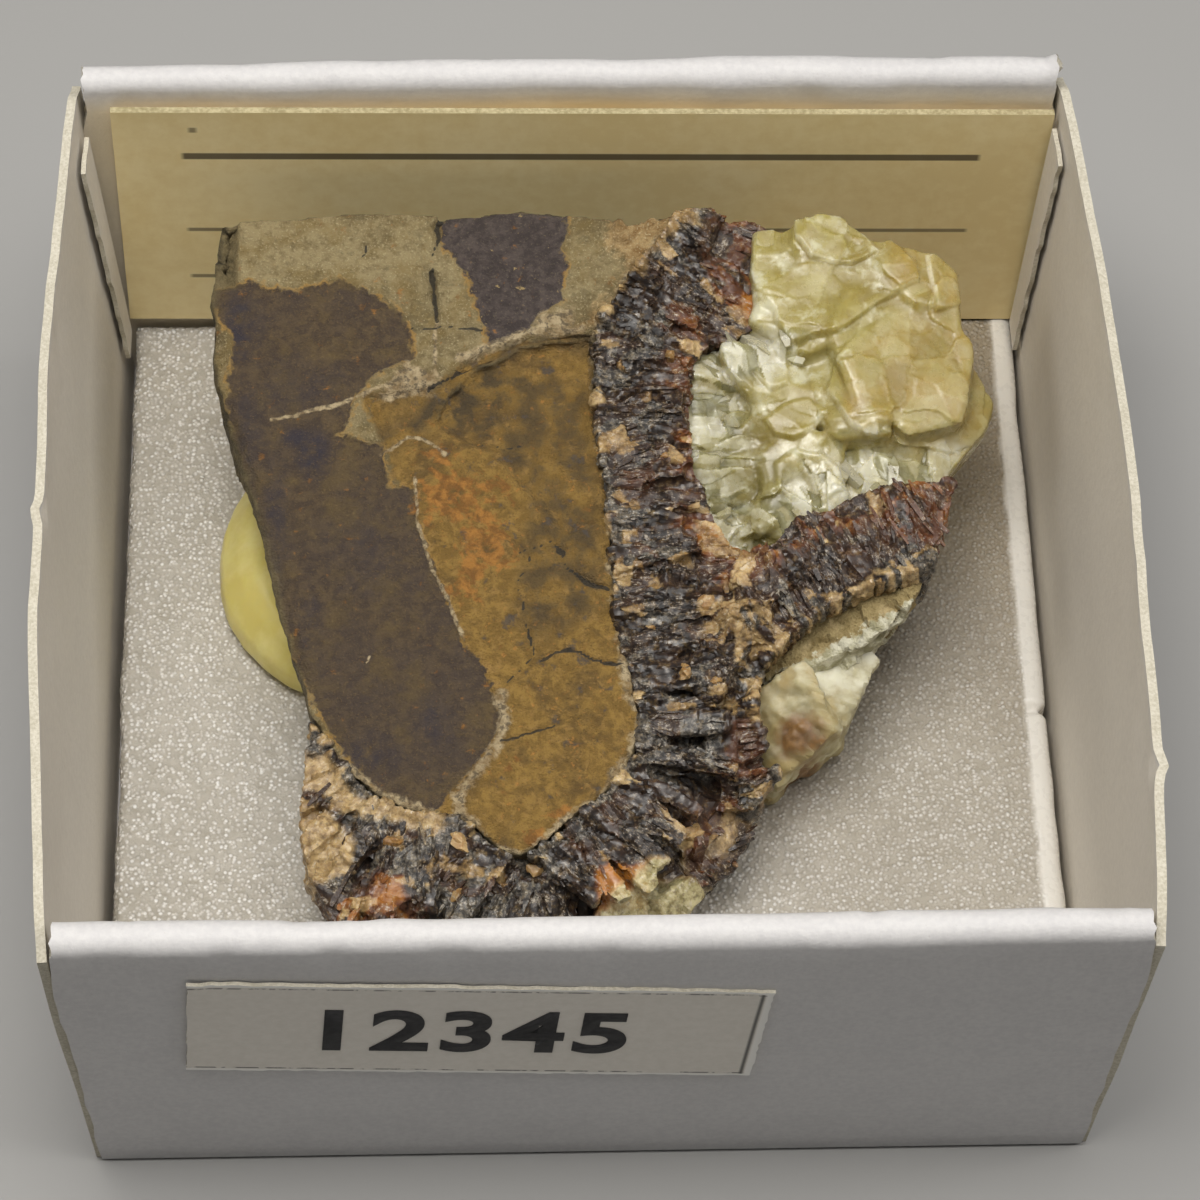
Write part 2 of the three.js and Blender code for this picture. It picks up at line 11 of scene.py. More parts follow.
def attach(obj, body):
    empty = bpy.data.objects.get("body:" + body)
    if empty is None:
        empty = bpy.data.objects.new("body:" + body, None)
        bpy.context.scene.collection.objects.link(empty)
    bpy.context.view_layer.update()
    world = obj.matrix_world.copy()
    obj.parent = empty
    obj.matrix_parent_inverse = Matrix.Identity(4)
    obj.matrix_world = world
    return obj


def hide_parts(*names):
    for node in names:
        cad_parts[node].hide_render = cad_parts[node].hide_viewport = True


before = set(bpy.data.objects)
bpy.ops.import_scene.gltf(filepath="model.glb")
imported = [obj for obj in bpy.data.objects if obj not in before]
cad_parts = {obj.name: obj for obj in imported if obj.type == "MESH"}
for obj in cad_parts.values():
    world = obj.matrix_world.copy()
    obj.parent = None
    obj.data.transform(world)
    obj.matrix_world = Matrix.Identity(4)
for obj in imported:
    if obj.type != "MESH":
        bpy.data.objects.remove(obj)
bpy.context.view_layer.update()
mm = 0.001


# Picking and shaping meshes

def pick(piece):
    bpy.ops.object.select_all(action="DESELECT")
    piece.select_set(True)
    bpy.context.view_layer.objects.active = piece


def pointsOf(piece):
    flat = np.empty(len(piece.data.vertices) * 3)
    piece.data.vertices.foreach_get("co", flat)
    return flat.reshape(-1, 3) / mm


def normalsOf(piece):
    flat = np.empty(len(piece.data.vertices) * 3)
    piece.data.vertices.foreach_get("normal", flat)
    return flat.reshape(-1, 3)


def movePoints(piece, points):
    piece.data.vertices.foreach_set("co", (points * mm).ravel())
    piece.data.update()


def cornersOf(piece):
    return np.array([vertex.co for vertex in piece.data.vertices])


def trianglesOf(piece):
    return sum(len(face.vertices) - 2 for face in piece.data.polygons)


def applyModifiers(piece):
    pick(piece)
    for modifier in list(piece.modifiers):
        bpy.ops.object.modifier_apply(modifier=modifier.name)


def gridPiece(name, across, up):
    # a flat sheet from -1 to 1 both ways, and its corners
    bpy.ops.object.select_all(action="DESELECT")
    bpy.ops.mesh.primitive_grid_add(x_subdivisions=across, y_subdivisions=up, size=2)
    piece = bpy.context.object
    piece.name = name
    return piece, cornersOf(piece)


def thicken(piece, thickness, *materials):
    # gives a sheet its thickness, inwards from its face; the rim gets the last material
    for material in materials:
        piece.data.materials.append(material)
    shell = piece.modifiers.new("sheet", "SOLIDIFY")
    shell.thickness = thickness * mm
    shell.offset = -1
    shell.use_even_offset = False
    shell.material_offset_rim = len(materials) - 1
    applyModifiers(piece)


def melt(piece, passes, chosen=None):
    # rounds a piece off, or only the chosen part of it
    smooth = piece.modifiers.new("melt", "SMOOTH")
    smooth.iterations = passes
    if chosen is not None:
        smooth.vertex_group = grouped(piece, chosen)
    applyModifiers(piece)
    piece.vertex_groups.clear()


def grouped(piece, chosen):
    # a vertex group for a modifier that works on a part of the piece
    group = piece.vertex_groups.new(name="chosen")
    group.add([int(i) for i in np.flatnonzero(chosen)], 1.0, "REPLACE")
    return group.name


def selectWhere(piece, kind, test):
    # leaves the piece in edit mode with only what passes the test selected
    pick(piece)
    bpy.ops.object.mode_set(mode="EDIT")
    bpy.ops.mesh.select_mode(type=kind)
    bpy.ops.mesh.select_all(action="DESELECT")
    bpy.ops.object.mode_set(mode="OBJECT")
    mesh = piece.data
    parts = {"VERT": mesh.vertices, "EDGE": mesh.edges, "FACE": mesh.polygons}[kind]
    for part in parts:
        part.select = test(part)
    bpy.ops.object.mode_set(mode="EDIT")


def grownCopy(nodeName, pieceName, shape):
    # a copy of a solid, its loose triangles merged, grown a little and rebuilt with small even faces
    piece = bpy.data.objects.new(pieceName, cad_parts[nodeName].data.copy())
    bpy.context.collection.objects.link(piece)
    piece.data.materials.clear()
    pick(piece)
    bpy.ops.object.mode_set(mode="EDIT")
    bpy.ops.mesh.select_all(action="SELECT")
    bpy.ops.mesh.remove_doubles(threshold=0.004 * mm)
    bpy.ops.object.mode_set(mode="OBJECT")
    movePoints(piece, pointsOf(piece) + normalsOf(piece) * shape["grown"])
    voxels = piece.modifiers.new("voxels", "REMESH")
    voxels.mode = "VOXEL"
    voxels.voxel_size = shape["voxel"] * mm
    applyModifiers(piece)
    return piece


def smoothShade(piece, angle=None):
    pick(piece)
    if angle is None:
        bpy.ops.object.shade_smooth()
    else:
        bpy.ops.object.shade_smooth_by_angle(angle=math.radians(angle))


def joinPieces(pieces, name):
    pick(pieces[0])
    for piece in pieces:
        piece.select_set(True)
    bpy.ops.object.join()
    pieces[0].name = name
    pieces[0].data.name = name
    return pieces[0]


def meshPiece(name, points, faces):
    mesh = bpy.data.meshes.new(name)
    mesh.from_pydata((np.asarray(points) * mm).tolist(), [], faces)
    piece = bpy.data.objects.new(name, mesh)
    bpy.context.collection.objects.link(piece)
    return piece


def paint(piece, name, values):
    # a mask for the materials, from 0 to 1 at every point
    layer = piece.data.attributes.new(name, "FLOAT", "POINT")
    layer.data.foreach_set("value", np.clip(values, 0, 1).astype(np.float32))


def paintAll(piece, masks):
    for name, values in masks.items():
        paint(piece, name, values)


def finish(piece, material, slotName, *nodes):
    if material:
        piece.data.materials.clear()
        piece.data.materials.append(material)
    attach(piece, "root")
    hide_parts(*nodes)


# Unevenness: smooth noise in space, and cells with flat tops

def hashed(ix, iy, iz, seed):
    h = (ix * 73856093) ^ (iy * 19349663) ^ (iz * 83492791) ^ (seed * 2654435761)
    h = (h & 0xFFFFFFFF) * 2246822519 & 0xFFFFFFFF
    h = (h ^ (h >> 13)) * 3266489917 & 0xFFFFFFFF
    return ((h ^ (h >> 16)) & 0xFFFFFF) / float(0xFFFFFF)


def noise(points, size, seed=0):
    # smooth, from -1 to 1, with features of about the given size
    p = np.asarray(points, dtype=float) / size + 100.0
    cell = np.floor(p).astype(np.int64)
    f = p - cell
    f = f * f * (3 - 2 * f)
    total = np.zeros(len(p))
    for dx in (0, 1):
        for dy in (0, 1):
            for dz in (0, 1):
                weight = (f[:, 0] if dx else 1 - f[:, 0]) * (f[:, 1] if dy else 1 - f[:, 1])
                weight = weight * (f[:, 2] if dz else 1 - f[:, 2])
                total += weight * hashed(cell[:, 0] + dx, cell[:, 1] + dy, cell[:, 2] + dz, seed)
    return total * 2 - 1


def roughNoise(points, size, seed=0, octaves=4):
    total = np.zeros(len(points))
    weight, span = 1.0, 0.0
    for octave in range(octaves):
        total += weight * noise(points, size / 2 ** octave, seed + 17 * octave)
        span += weight
        weight *= 0.5
    return total / span


def cells(points, size, seed=0):
    # for each point: its nearest cell's centre, that cell's number, and how near the next cell is
    p = np.asarray(points, dtype=float) / size + 100.0
    base = np.floor(p).astype(np.int64)
    best = np.full(len(p), 1e9)
    second = np.full(len(p), 1e9)
    number = np.zeros(len(p))
    centre = np.zeros_like(p)
    for dx in (-1, 0, 1):
        for dy in (-1, 0, 1):
            for dz in (-1, 0, 1):
                c = base + np.array([dx, dy, dz])
                jitter = np.stack([hashed(c[:, 0], c[:, 1], c[:, 2], seed + k) for k in (1, 2, 3)], axis=1)
                spot = c + 0.1 + 0.8 * jitter
                far = np.sum((spot - p) ** 2, axis=1)
                closer = far < best
                second = np.where(closer, best, np.minimum(second, far))
                centre[closer] = spot[closer]
                number = np.where(closer, hashed(c[:, 0], c[:, 1], c[:, 2], seed + 9), number)
                best = np.where(closer, far, best)
    edge = (np.sqrt(second) - np.sqrt(best)) * size
    return (centre - 100.0) * size, number, edge


# Lines and patches drawn on the stone's face

def lineDistance(u, v, line, closed=False):
    # distance to the line, and how far along it (in mm) the nearest point lies
    line = np.array(line, dtype=float)
    if closed:
        line = np.vstack([line, line[:1]])
    best = np.full(len(u), 1e9)
    along = np.zeros(len(u))
    run = 0.0
    for (u0, v0), (u1, v1) in zip(line[:-1], line[1:]):
        length = math.hypot(u1 - u0, v1 - v0)
        t = np.clip(((u - u0) * (u1 - u0) + (v - v0) * (v1 - v0)) / max(length, 1e-9) ** 2, 0, 1)
        far = np.hypot(u - u0 - t * (u1 - u0), v - v0 - t * (v1 - v0))
        along = np.where(far < best, run + t * length, along)
        best = np.minimum(best, far)
        run += length
    return best, along


def insideOf(u, v, outline):
    inside = np.zeros(len(u), dtype=bool)
    for (u0, v0), (u1, v1) in zip(outline, outline[1:] + outline[:1]):
        crosses = (v0 > v) != (v1 > v)
        with np.errstate(divide="ignore", invalid="ignore"):
            at = (u1 - u0) * (v - v0) / (v1 - v0 if v1 != v0 else 1e-9) + u0
        inside ^= crosses & (u < at)
    return inside


def patchDepth(u, v, outline):
    # how far inside the outline a point is; negative outside
    far, _ = lineDistance(u, v, outline, closed=True)
    return np.where(insideOf(u, v, outline), far, -far)


def ramp(values, low, high):
    t = np.clip((values - low) / (high - low), 0, 1)
    return t * t * (3 - 2 * t)


# The stone's own frame: u to the right, v up the broken face, w out of it

stoneFrame = {"faceHeight": 13.6, "tilt": math.radians(9)}


def toFace(points):
    # from the world to (u, v, w)
    c, s = math.cos(stoneFrame["tilt"]), math.sin(stoneFrame["tilt"])
    y, z = points[:, 1], points[:, 2] - stoneFrame["faceHeight"]
    return np.stack([points[:, 0], y * c + z * s, z * c - y * s], axis=1)


def fromFace(points):
    c, s = math.cos(stoneFrame["tilt"]), math.sin(stoneFrame["tilt"])
    v, w = points[:, 1], points[:, 2]
    return np.stack([points[:, 0], v * c - w * s, stoneFrame["faceHeight"] + v * s + w * c], axis=1)


def turnedToWorld(vectors):
    return fromFace(vectors) - fromFace(np.zeros((1, 3)))


# Materials

def newMaterial(name, **settings):
    material = bpy.data.materials.new(name)
    material.use_nodes = True
    shader = material.node_tree.nodes["Principled BSDF"]
    for socket, value in settings.items():
        shader.inputs[socket.replace("_", " ")].default_value = value
    return material, material.node_tree, shader


def put(tree, kind, inputs=None, **settings):
    # adds a node; an input given as a socket is linked, any other is set
    made = tree.nodes.new("ShaderNode" + kind)
    for name, value in settings.items():
        setattr(made, name, value)
    for name, value in (inputs or {}).items():
        if isinstance(value, bpy.types.NodeSocket):
            tree.links.new(value, made.inputs[name])
        else:
            made.inputs[name].default_value = value
    return made


def rgb(*screen):
    # a colour as seen on a screen, 0 to 255, for a shader
    return tuple(((c / 255 + 0.055) / 1.055) ** 2.4 if c > 10 else c / 3295 for c in screen) + (1.0,)


def mask(tree, name):
    return put(tree, "Attribute", attribute_name=name, attribute_type="GEOMETRY").outputs["Fac"]


def over(tree, below, above, amount):
    # the colour above laid over the colour below; a colour is a socket or a screen colour
    mix = tree.nodes.new("ShaderNodeMix")
    mix.data_type = "RGBA"
    for socket, value in ((mix.inputs[0], amount), (mix.inputs[6], below), (mix.inputs[7], above)):
        if isinstance(value, bpy.types.NodeSocket):
            tree.links.new(value, socket)
        else:
            socket.default_value = rgb(*value) if isinstance(value, tuple) else value
    return mix.outputs[2]


def coats(tree, colour, *layers):
    # (colour, mask) or (colour, mask, share of it) layers laid over a colour, the last on top
    for above, amount, *share in layers:
        colour = over(tree, colour, above, times(tree, amount, share[0]) if share else amount)
    return colour


def dress(tree, shader, colour, roughness=None):
    tree.links.new(colour, shader.inputs["Base Color"])
    if roughness is not None:
        tree.links.new(roughness, shader.inputs["Roughness"])


def spread(tree, value, fromMin, fromMax, toMin=0.0, toMax=1.0):
    return put(
        tree, "MapRange",
        {"Value": value, "From Min": fromMin, "From Max": fromMax, "To Min": toMin, "To Max": toMax},
    ).outputs["Result"]


def maths(tree, operation, a, b):
    return put(tree, "Math", {0: a, 1: b}, operation=operation).outputs[0]


def times(tree, a, b):
    return maths(tree, "MULTIPLY", a, b)


def plus(tree, a, b):
    return maths(tree, "ADD", a, b)


def minus(tree, a, b):
    return maths(tree, "SUBTRACT", a, b)


def buildGrain():
    # uneven grain for every matt surface: a mask for colour and a height for bump
    group = bpy.data.node_groups.new("grain", "ShaderNodeTree")
    for name in ("Vector", "Size", "Patchiness", "Mask", "Height"):
        way = "OUTPUT" if name in ("Mask", "Height") else "INPUT"
        kind = "NodeSocketVector" if name == "Vector" else "NodeSocketFloat"
        group.interface.new_socket(name, in_out=way, socket_type=kind)
    entry = group.nodes.new("NodeGroupInput")
    leave = group.nodes.new("NodeGroupOutput")
    place = entry.outputs["Vector"]
    perMetre = maths(group, "DIVIDE", 1.0, entry.outputs["Size"])
    fine = put(group, "TexNoise", {"Vector": place, "Scale": perMetre, "Detail": 6.0, "Roughness": 0.62})
    broad = put(group, "TexNoise", {"Vector": place, "Scale": times(group, perMetre, 0.13), "Detail": 3.0})
    shift = times(group, minus(group, broad.outputs["Fac"], 0.5), entry.outputs["Patchiness"])
    level = plus(group, fine.outputs["Fac"], shift)
    group.links.new(spread(group, level, 0.36, 0.64), leave.inputs["Mask"])
    group.links.new(fine.outputs["Fac"], leave.inputs["Height"])
    return group


grainGroup = buildGrain()


def grain(tree, size, patchiness=0.0):
    place = put(tree, "TexCoord").outputs["Object"]
    node = tree.nodes.new("ShaderNodeGroup")
    node.node_tree = grainGroup
    node.inputs["Size"].default_value = size * mm
    node.inputs["Patchiness"].default_value = patchiness
    tree.links.new(place, node.inputs["Vector"])
    return node.outputs["Mask"], node.outputs["Height"]


def bump(tree, shader, height, depth, strength):
    made = put(tree, "Bump", {"Height": height, "Distance": depth * mm, "Strength": strength})
    tree.links.new(made.outputs["Normal"], shader.inputs["Normal"])


def twoTone(name, dark, light, size, patchiness, **settings):
    # a material whose grain wanders between two colours, and the height of that grain
    material, tree, shader = newMaterial(name, **settings)
    shade, height = grain(tree, size, patchiness)
    dress(tree, shader, over(tree, dark, light, shade))
    return material, tree, shader, height


# Camera, light and floor

view = {
    "place": (-4.8516, -95.1601, 163.9697),
    "azimuth": 3.29797,
    "down": 58.12068,
    "roll": 2.117,
    "lens": 126.186,
}


def addCamera():
    camera = bpy.data.cameras.new("camera")
    camera.lens = view["lens"]
    camera.sensor_width = 36
    camera.clip_start = 0.005
    az, el, roll = (math.radians(view[k]) for k in ("azimuth", "down", "roll"))
    forward = Vector((math.sin(az) * math.cos(el), math.cos(az) * math.cos(el), -math.sin(el)))
    right = Vector((math.cos(az), -math.sin(az), 0))
    up = right.cross(forward)
    right, up = math.cos(roll) * right + math.sin(roll) * up, -math.sin(roll) * right + math.cos(roll) * up
    turn = Matrix((right, up, -forward)).transposed().to_4x4()
    holder = bpy.data.objects.new("camera", camera)
    holder.matrix_world = Matrix.Translation(Vector(view["place"]) * mm) @ turn
    bpy.context.collection.objects.link(holder)
    bpy.context.scene.camera = holder


def addLight(name, place, size, power, colour):
    lamp = bpy.data.lights.new(name, "AREA")
    lamp.shape = "RECTANGLE"
    lamp.size, lamp.size_y = size[0] * mm, size[1] * mm
    lamp.energy = power
    lamp.color = colour
    holder = bpy.data.objects.new(name, lamp)
    holder.location = Vector(place) * mm
    holder.rotation_euler = (Vector(studio["middle"]) - Vector(place)).to_track_quat("-Z", "Y").to_euler()
    bpy.context.collection.objects.link(holder)


lights = {
    "key": {"place": (0, 0, 430), "size": (320, 260), "power": 1.0, "colour": (1.0, 0.985, 0.955)},
    "left": {"place": (-300, 20, 260), "size": (160, 160), "power": 0.2, "colour": (1.0, 0.98, 0.95)},
    "right": {"place": (260, -30, 260), "size": (200, 200), "power": 0.42, "colour": (1.0, 0.98, 0.95)},
    "front": {"place": (-60, -110, 430), "size": (220, 120), "power": 0.06, "colour": (1.0, 0.985, 0.96)},
    "near": {"place": (-22, -16, 150), "size": (80, 40), "power": 0.1, "colour": (1.0, 0.97, 0.92)},
}


studio = {
    "middle": (0, 0, 8),
    "sky": (0.9, 0.93, 1.0, 1),
    "skyPower": 0.04,
    "floor": (160, 159, 157),
    "floorSize": 1600,
}


def addStudio():
    for name, one in lights.items():
        addLight(name, **one)
    world = bpy.data.worlds.new("world")
    world.use_nodes = True
    sky = world.node_tree.nodes["Background"].inputs
    sky["Color"].default_value = studio["sky"]
    sky["Strength"].default_value = studio["skyPower"]
    bpy.context.scene.world = world
    bpy.context.scene.view_settings.view_transform = "Standard"
    bpy.ops.mesh.primitive_plane_add(size=studio["floorSize"] * mm)
    floor = bpy.context.object
    floor.name = "floor"
    material, _, shader = newMaterial("floorPaper", Roughness=0.8)
    shader.inputs["Base Color"].default_value = rgb(*studio["floor"])
    floor.data.materials.append(material)


addCamera()
addStudio()
print("stage: camera, lights and floor")


# The card tray: one long sheet folded over at the front and the back, and a sheet on each side

tray = {
    "width": 42.0,
    "depth": 42.0,
    "board": 0.5,
    "foldedWall": 1.5,
    "frontHeight": 21.4,
    "backHeight": 21.75,
    "sideHeight": 20.8,
    "leftFlare": (0.6, 0.95),
    "rightFlare": (0.7, 0.35),
    "sideBow": 0.85,
    "frontFlare": 1.0,
    "backBow": 0.2,
    "foldInset": 0.35,
    "foldSteps": 9,
    "wallEnd": 0.6,
    "wallStep": 1.2,
    "floorStep": 2.0,
    "corner": (0.3, 0.09),
    "cellsAlong": 110,
    "crumple": 0.055,
    "sideBoard": 0.38,
    "sideCells": (110, 52),
    "sideNicks": {-1: (-1.7, 0.16), 1: (-14.2, 0.22)},  # for each side: where along it, how far out
    "flapBoard": 0.2,
    "flapCells": (8, 40),
    "flapAlong": (17.9, 0.75),
    "flapLow": 4.8,
    "flapHigh": 19.2,
}


def sideLean(side, along, up):
    # how far a side wall stands out: it flares, and bows in the middle
    front, back = (np.where(side < 0, *pair) for pair in zip(tray["leftFlare"], tray["rightFlare"]))
    flare = front + (back - front) * (along + 1) / 2
    return flare * up + tray["sideBow"] * (1 - along ** 2) * np.maximum(up, 0) ** 1.4


def stretch(fromPoint, toPoint, step):
    count = max(1, round(math.dist(fromPoint, toPoint) / step))
    return [tuple(a + (b - a) * i / count for a, b in zip(fromPoint, toPoint)) for i in range(1, count + 1)]


def trayProfile():
    # (y, z) of the card's outer side, from inside the front wall round to inside the back wall
    radius = tray["foldedWall"] / 2
    half = tray["depth"] / 2
    end, step = tray["wallEnd"], tray["wallStep"]
    round_, bevel = tray["corner"]
    frontTop = tray["frontHeight"] - radius
    backTop = tray["backHeight"] - radius
    turns = [math.pi * i / tray["foldSteps"] for i in range(1, tray["foldSteps"] + 1)]
    profile = [(-half + tray["foldedWall"], end)]
    profile += stretch(profile[-1], (-half + 2 * radius, frontTop), step)
    profile += [(-half + radius + radius * math.cos(a), frontTop + radius * math.sin(a)) for a in turns]
    profile += stretch(profile[-1], (-half, round_), step)
    profile += [(-half + bevel, bevel), (-half + round_, 0.0)]
    profile += stretch(profile[-1], (half - round_, 0.0), tray["floorStep"])
    profile += [(half - bevel, bevel), (half, round_)]
    profile += stretch(profile[-1], (half, backTop), step)
    profile += [(half - radius + radius * math.cos(a), backTop + radius * math.sin(a)) for a in turns]
    profile += stretch(profile[-1], (half - 2 * radius, end), step)
    return profile


def foldedSheet(name, profile, length, cuts):
    # a strip of card that follows the profile and runs along x
    bpy.ops.object.select_all(action="DESELECT")
    bpy.ops.mesh.primitive_plane_add(size=length * mm)
    piece = bpy.context.object
    piece.name = name
    for vertex in piece.data.vertices:
        row = profile[0] if vertex.co.y < 0 else profile[1]
        vertex.co = (vertex.co.x, row[0] * mm, row[1] * mm)
    end = Vector((0, profile[1][0] * mm, profile[1][1] * mm))
    corners = piece.data.vertices
    selectWhere(
        piece, "EDGE",
        lambda edge: all((corners[i].co - end).yz.length < 1e-7 for i in edge.vertices),
    )
    for before, after in zip(profile[1:], profile[2:]):
        step = (0, (after[0] - before[0]) * mm, (after[1] - before[1]) * mm)
        bpy.ops.mesh.extrude_region_move(TRANSFORM_OT_translate={"value": step})
    bpy.ops.object.mode_set(mode="OBJECT")
    corners = piece.data.vertices
    selectWhere(
        piece, "EDGE",
        lambda edge: abs(corners[edge.vertices[0]].co.x - corners[edge.vertices[1]].co.x) > length / 2 * mm,
    )
    bpy.ops.mesh.subdivide(number_cuts=cuts)
    bpy.ops.object.mode_set(mode="OBJECT")
    return piece


def bendTray(piece):
    # leans and bows the walls, draws the folds in from the corners, and crumples the card a little
    points = pointsOf(piece)
    normals = normalsOf(piece)
    x, y, z = points.T.copy()
    across = x / (tray["width"] / 2)
    front = y < 0
    height = np.where(front, tray["frontHeight"], tray["backHeight"])
    up = z / height
    nearWall = np.abs(y) > tray["depth"] / 2 - tray["foldedWall"] - 0.01
    end = np.where(front, -1.0, 1.0)
    side = np.sign(across)
    half = (tray["width"] - tray["board"]) / 2
    inset = tray["foldInset"] * ramp(up, 0.87, 0.93)
    points[:, 0] = across * np.where(nearWall, half + sideLean(side, end, up) - inset, half)
    lean = np.where(front, -tray["frontFlare"] * up, tray["backBow"] * (1 - across ** 2) * up)
    points[:, 1] += np.where(nearWall, lean, 0)
    fold = ramp(z, 18.5, 20.5)
    ragged = noise(np.stack([x * 0, y * 3, z * 3], axis=1), 0.5, 5) * ramp(np.abs(across), 0.985, 1.0)
    points[:, 0] += 0.12 * ragged * nearWall * side
    crumple = tray["crumple"] * (0.3 + fold) * noise(points, 2.1, 3) + 0.1 * noise(points, 9, 8)
    dents = -0.09 * fold * ramp(noise(points, 1.3, 21), 0.45, 0.9)
    points += normals * ((crumple + dents) * nearWall * ramp(z, 1.0, 5.0))[:, None]
    peak = np.exp(-(((points[:, 0] - 20.75) / 0.28) ** 2)) * ramp(z, 21.2, 21.6) * ~front
    points[:, 2] += 0.35 * peak
    points[:, 2] += 0.07 * noise(np.stack([x, y * 0, z * 0], axis=1), 6, 31) * fold
    movePoints(piece, points)


def sideSheet(side):
    # one side wall: a plane stood on edge, with its upper corners rounded
    piece, flat = gridPiece("leftWall" if side < 0 else "rightWall", *tray["sideCells"])
    along, up = flat[:, 0], (flat[:, 1] + 1) / 2
    half = tray["depth"] / 2 - 0.2
    points = np.zeros_like(flat)
    points[:, 0] = side * (tray["width"] / 2 + sideLean(np.full(len(up), side), along, up))
    points[:, 1] = along * (half + np.where(along < 0, tray["frontFlare"] * up, 0))
    corner = 0.7 * ramp(np.abs(along), 0.93, 1)
    points[:, 2] = 0.02 + up * (tray["sideHeight"] - 0.02 - corner)
    points[:, 0] += side * 0.1 * noise(points, 7, 12) * ramp(up, 0.1, 0.5)
    points[:, 0] += side * 0.03 * noise(points, 1.6, 13) * ramp(up, 0.7, 1)
    points[:, 2] += 0.05 * noise(points, 0.8, 14) * ramp(up, 0.985, 1)
    nickAt, reach = tray["sideNicks"][side]
    bulge = np.exp(-(((points[:, 1] - nickAt) / 0.4) ** 2)) * ramp(up, 0.965, 0.985)
    points[:, 0] += side * reach * bulge
    movePoints(piece, points)
    return piece


def faceOutward(piece, outwardOf):
    # turns a sheet's faces the way that outwardOf gives for its points
    points, normals = pointsOf(piece), normalsOf(piece)
    if np.mean(np.sum(normals * outwardOf(points), axis=1)) < 0:
        selectWhere(piece, "FACE", lambda face: True)
        bpy.ops.mesh.flip_normals()
        bpy.ops.object.mode_set(mode="OBJECT")


def forwards(points):
    return np.tile([0, -1.0, 0], (len(points), 1))


def sideways(points):
    return points * (1, 0, 0)


def cardMaterial():
    material, tree, shader = newMaterial("whiteCard", Roughness=0.62)
    shade, _ = grain(tree, 0.3, 0.3)
    _, fibres = grain(tree, 0.12)
    _, dents = grain(tree, 0.6)
    colour = coats(
        tree, (202, 200, 200),
        ((211, 209, 208), shade),
        ((190, 186, 182), spread(tree, fibres, 0.36, 0.3), 0.6),
        # painted warm bounce light on the card's inner faces
        ((246, 226, 178), mask(tree, "paintedCreamBounce")),
    )
    dress(tree, shader, colour)
    bump(tree, shader, plus(tree, times(tree, dents, 2.2), fibres), 0.02, 0.7)
    return material


def cutEdgeMaterial():
    material, tree, shader, height = twoTone(
        "cutCardEdge", (184, 177, 158), (210, 204, 188), 0.13, 0.3, Roughness=0.85
    )
    bump(tree, shader, height, 0.05, 0.8)
    return material


def cornerFlap(side):
    # the end of the glued flap that lies against a side wall in the back corner
    piece, flat = gridPiece("leftFlap" if side < 0 else "rightFlap", *tray["flapCells"])
    height = tray["flapLow"] + (flat[:, 1] + 1) / 2 * (tray["flapHigh"] - tray["flapLow"])
    middle, half = tray["flapAlong"]
    along = middle + half * flat[:, 0]
    lean = sideLean(np.full(len(height), side), along / (tray["depth"] / 2), height / tray["sideHeight"])
    points = np.stack([side * (tray["width"] / 2 - tray["board"] - 0.1 + lean), along, height], axis=1)
    ragged = noise(points, 0.7, 17)
    points[:, 1] -= (0.25 * ragged + 0.5 * height / tray["flapHigh"]) * (flat[:, 0] < -0.99)
    points[:, 2] += 0.2 * ragged * (flat[:, 1] > 0.99)
    movePoints(piece, points)
    return piece


def buildTray():
    materials = [cardMaterial(), cutEdgeMaterial()]
    strip = foldedSheet("foldedStrip", trayProfile(), tray["width"], tray["cellsAlong"])
    middle = np.array([0, 0, 10.0])
    faceOutward(strip, lambda p: np.where((np.abs(p[:, 1:2]) > 20.9) | (p[:, 2:3] < 0.05), p - middle, 0))
    bendTray(strip)
    thicken(strip, tray["board"], *materials)
    walls = [strip]
    for side in (-1, 1):
        for sheet, board in ((sideSheet(side), "sideBoard"), (cornerFlap(side), "flapBoard")):
            faceOutward(sheet, sideways)
            thicken(sheet, tray[board], *materials)
            walls.append(sheet)
    piece = joinPieces(walls, "cardTray")
    # painted warm light bounced from the cream name card onto the card's inner faces, most of all at the back
    x, y, z = pointsOf(piece).T
    normals = normalsOf(piece)
    backInside = ramp(y, 19, 20) * (1 - ramp(z, 19.8, 21.3)) * ramp(-normals[:, 1], 0.5, 0.8)
    sideInside = ramp(np.abs(x), 19, 19.5) * ramp(-np.sign(x) * normals[:, 0], 0.5, 0.8)
    paint(piece, "paintedCreamBounce", np.maximum(backInside, 0.25 * sideInside))
    smoothShade(piece, 50)
    finish(piece, None, "tray", "tray")


buildTray()
print("stage: card tray")


# The foam pad, with a skin of small cells

pad = {
    "low": 0.5,
    "high": 4.5,
    "half": (20.35, 19.35),
    "edge": 0.5,
    "edgeSteps": 4,
    "sideSteps": 4,
    "cells": (270, 256),
    "bubble": 0.42,
    "nicks": (-2.0, -13.5),
}


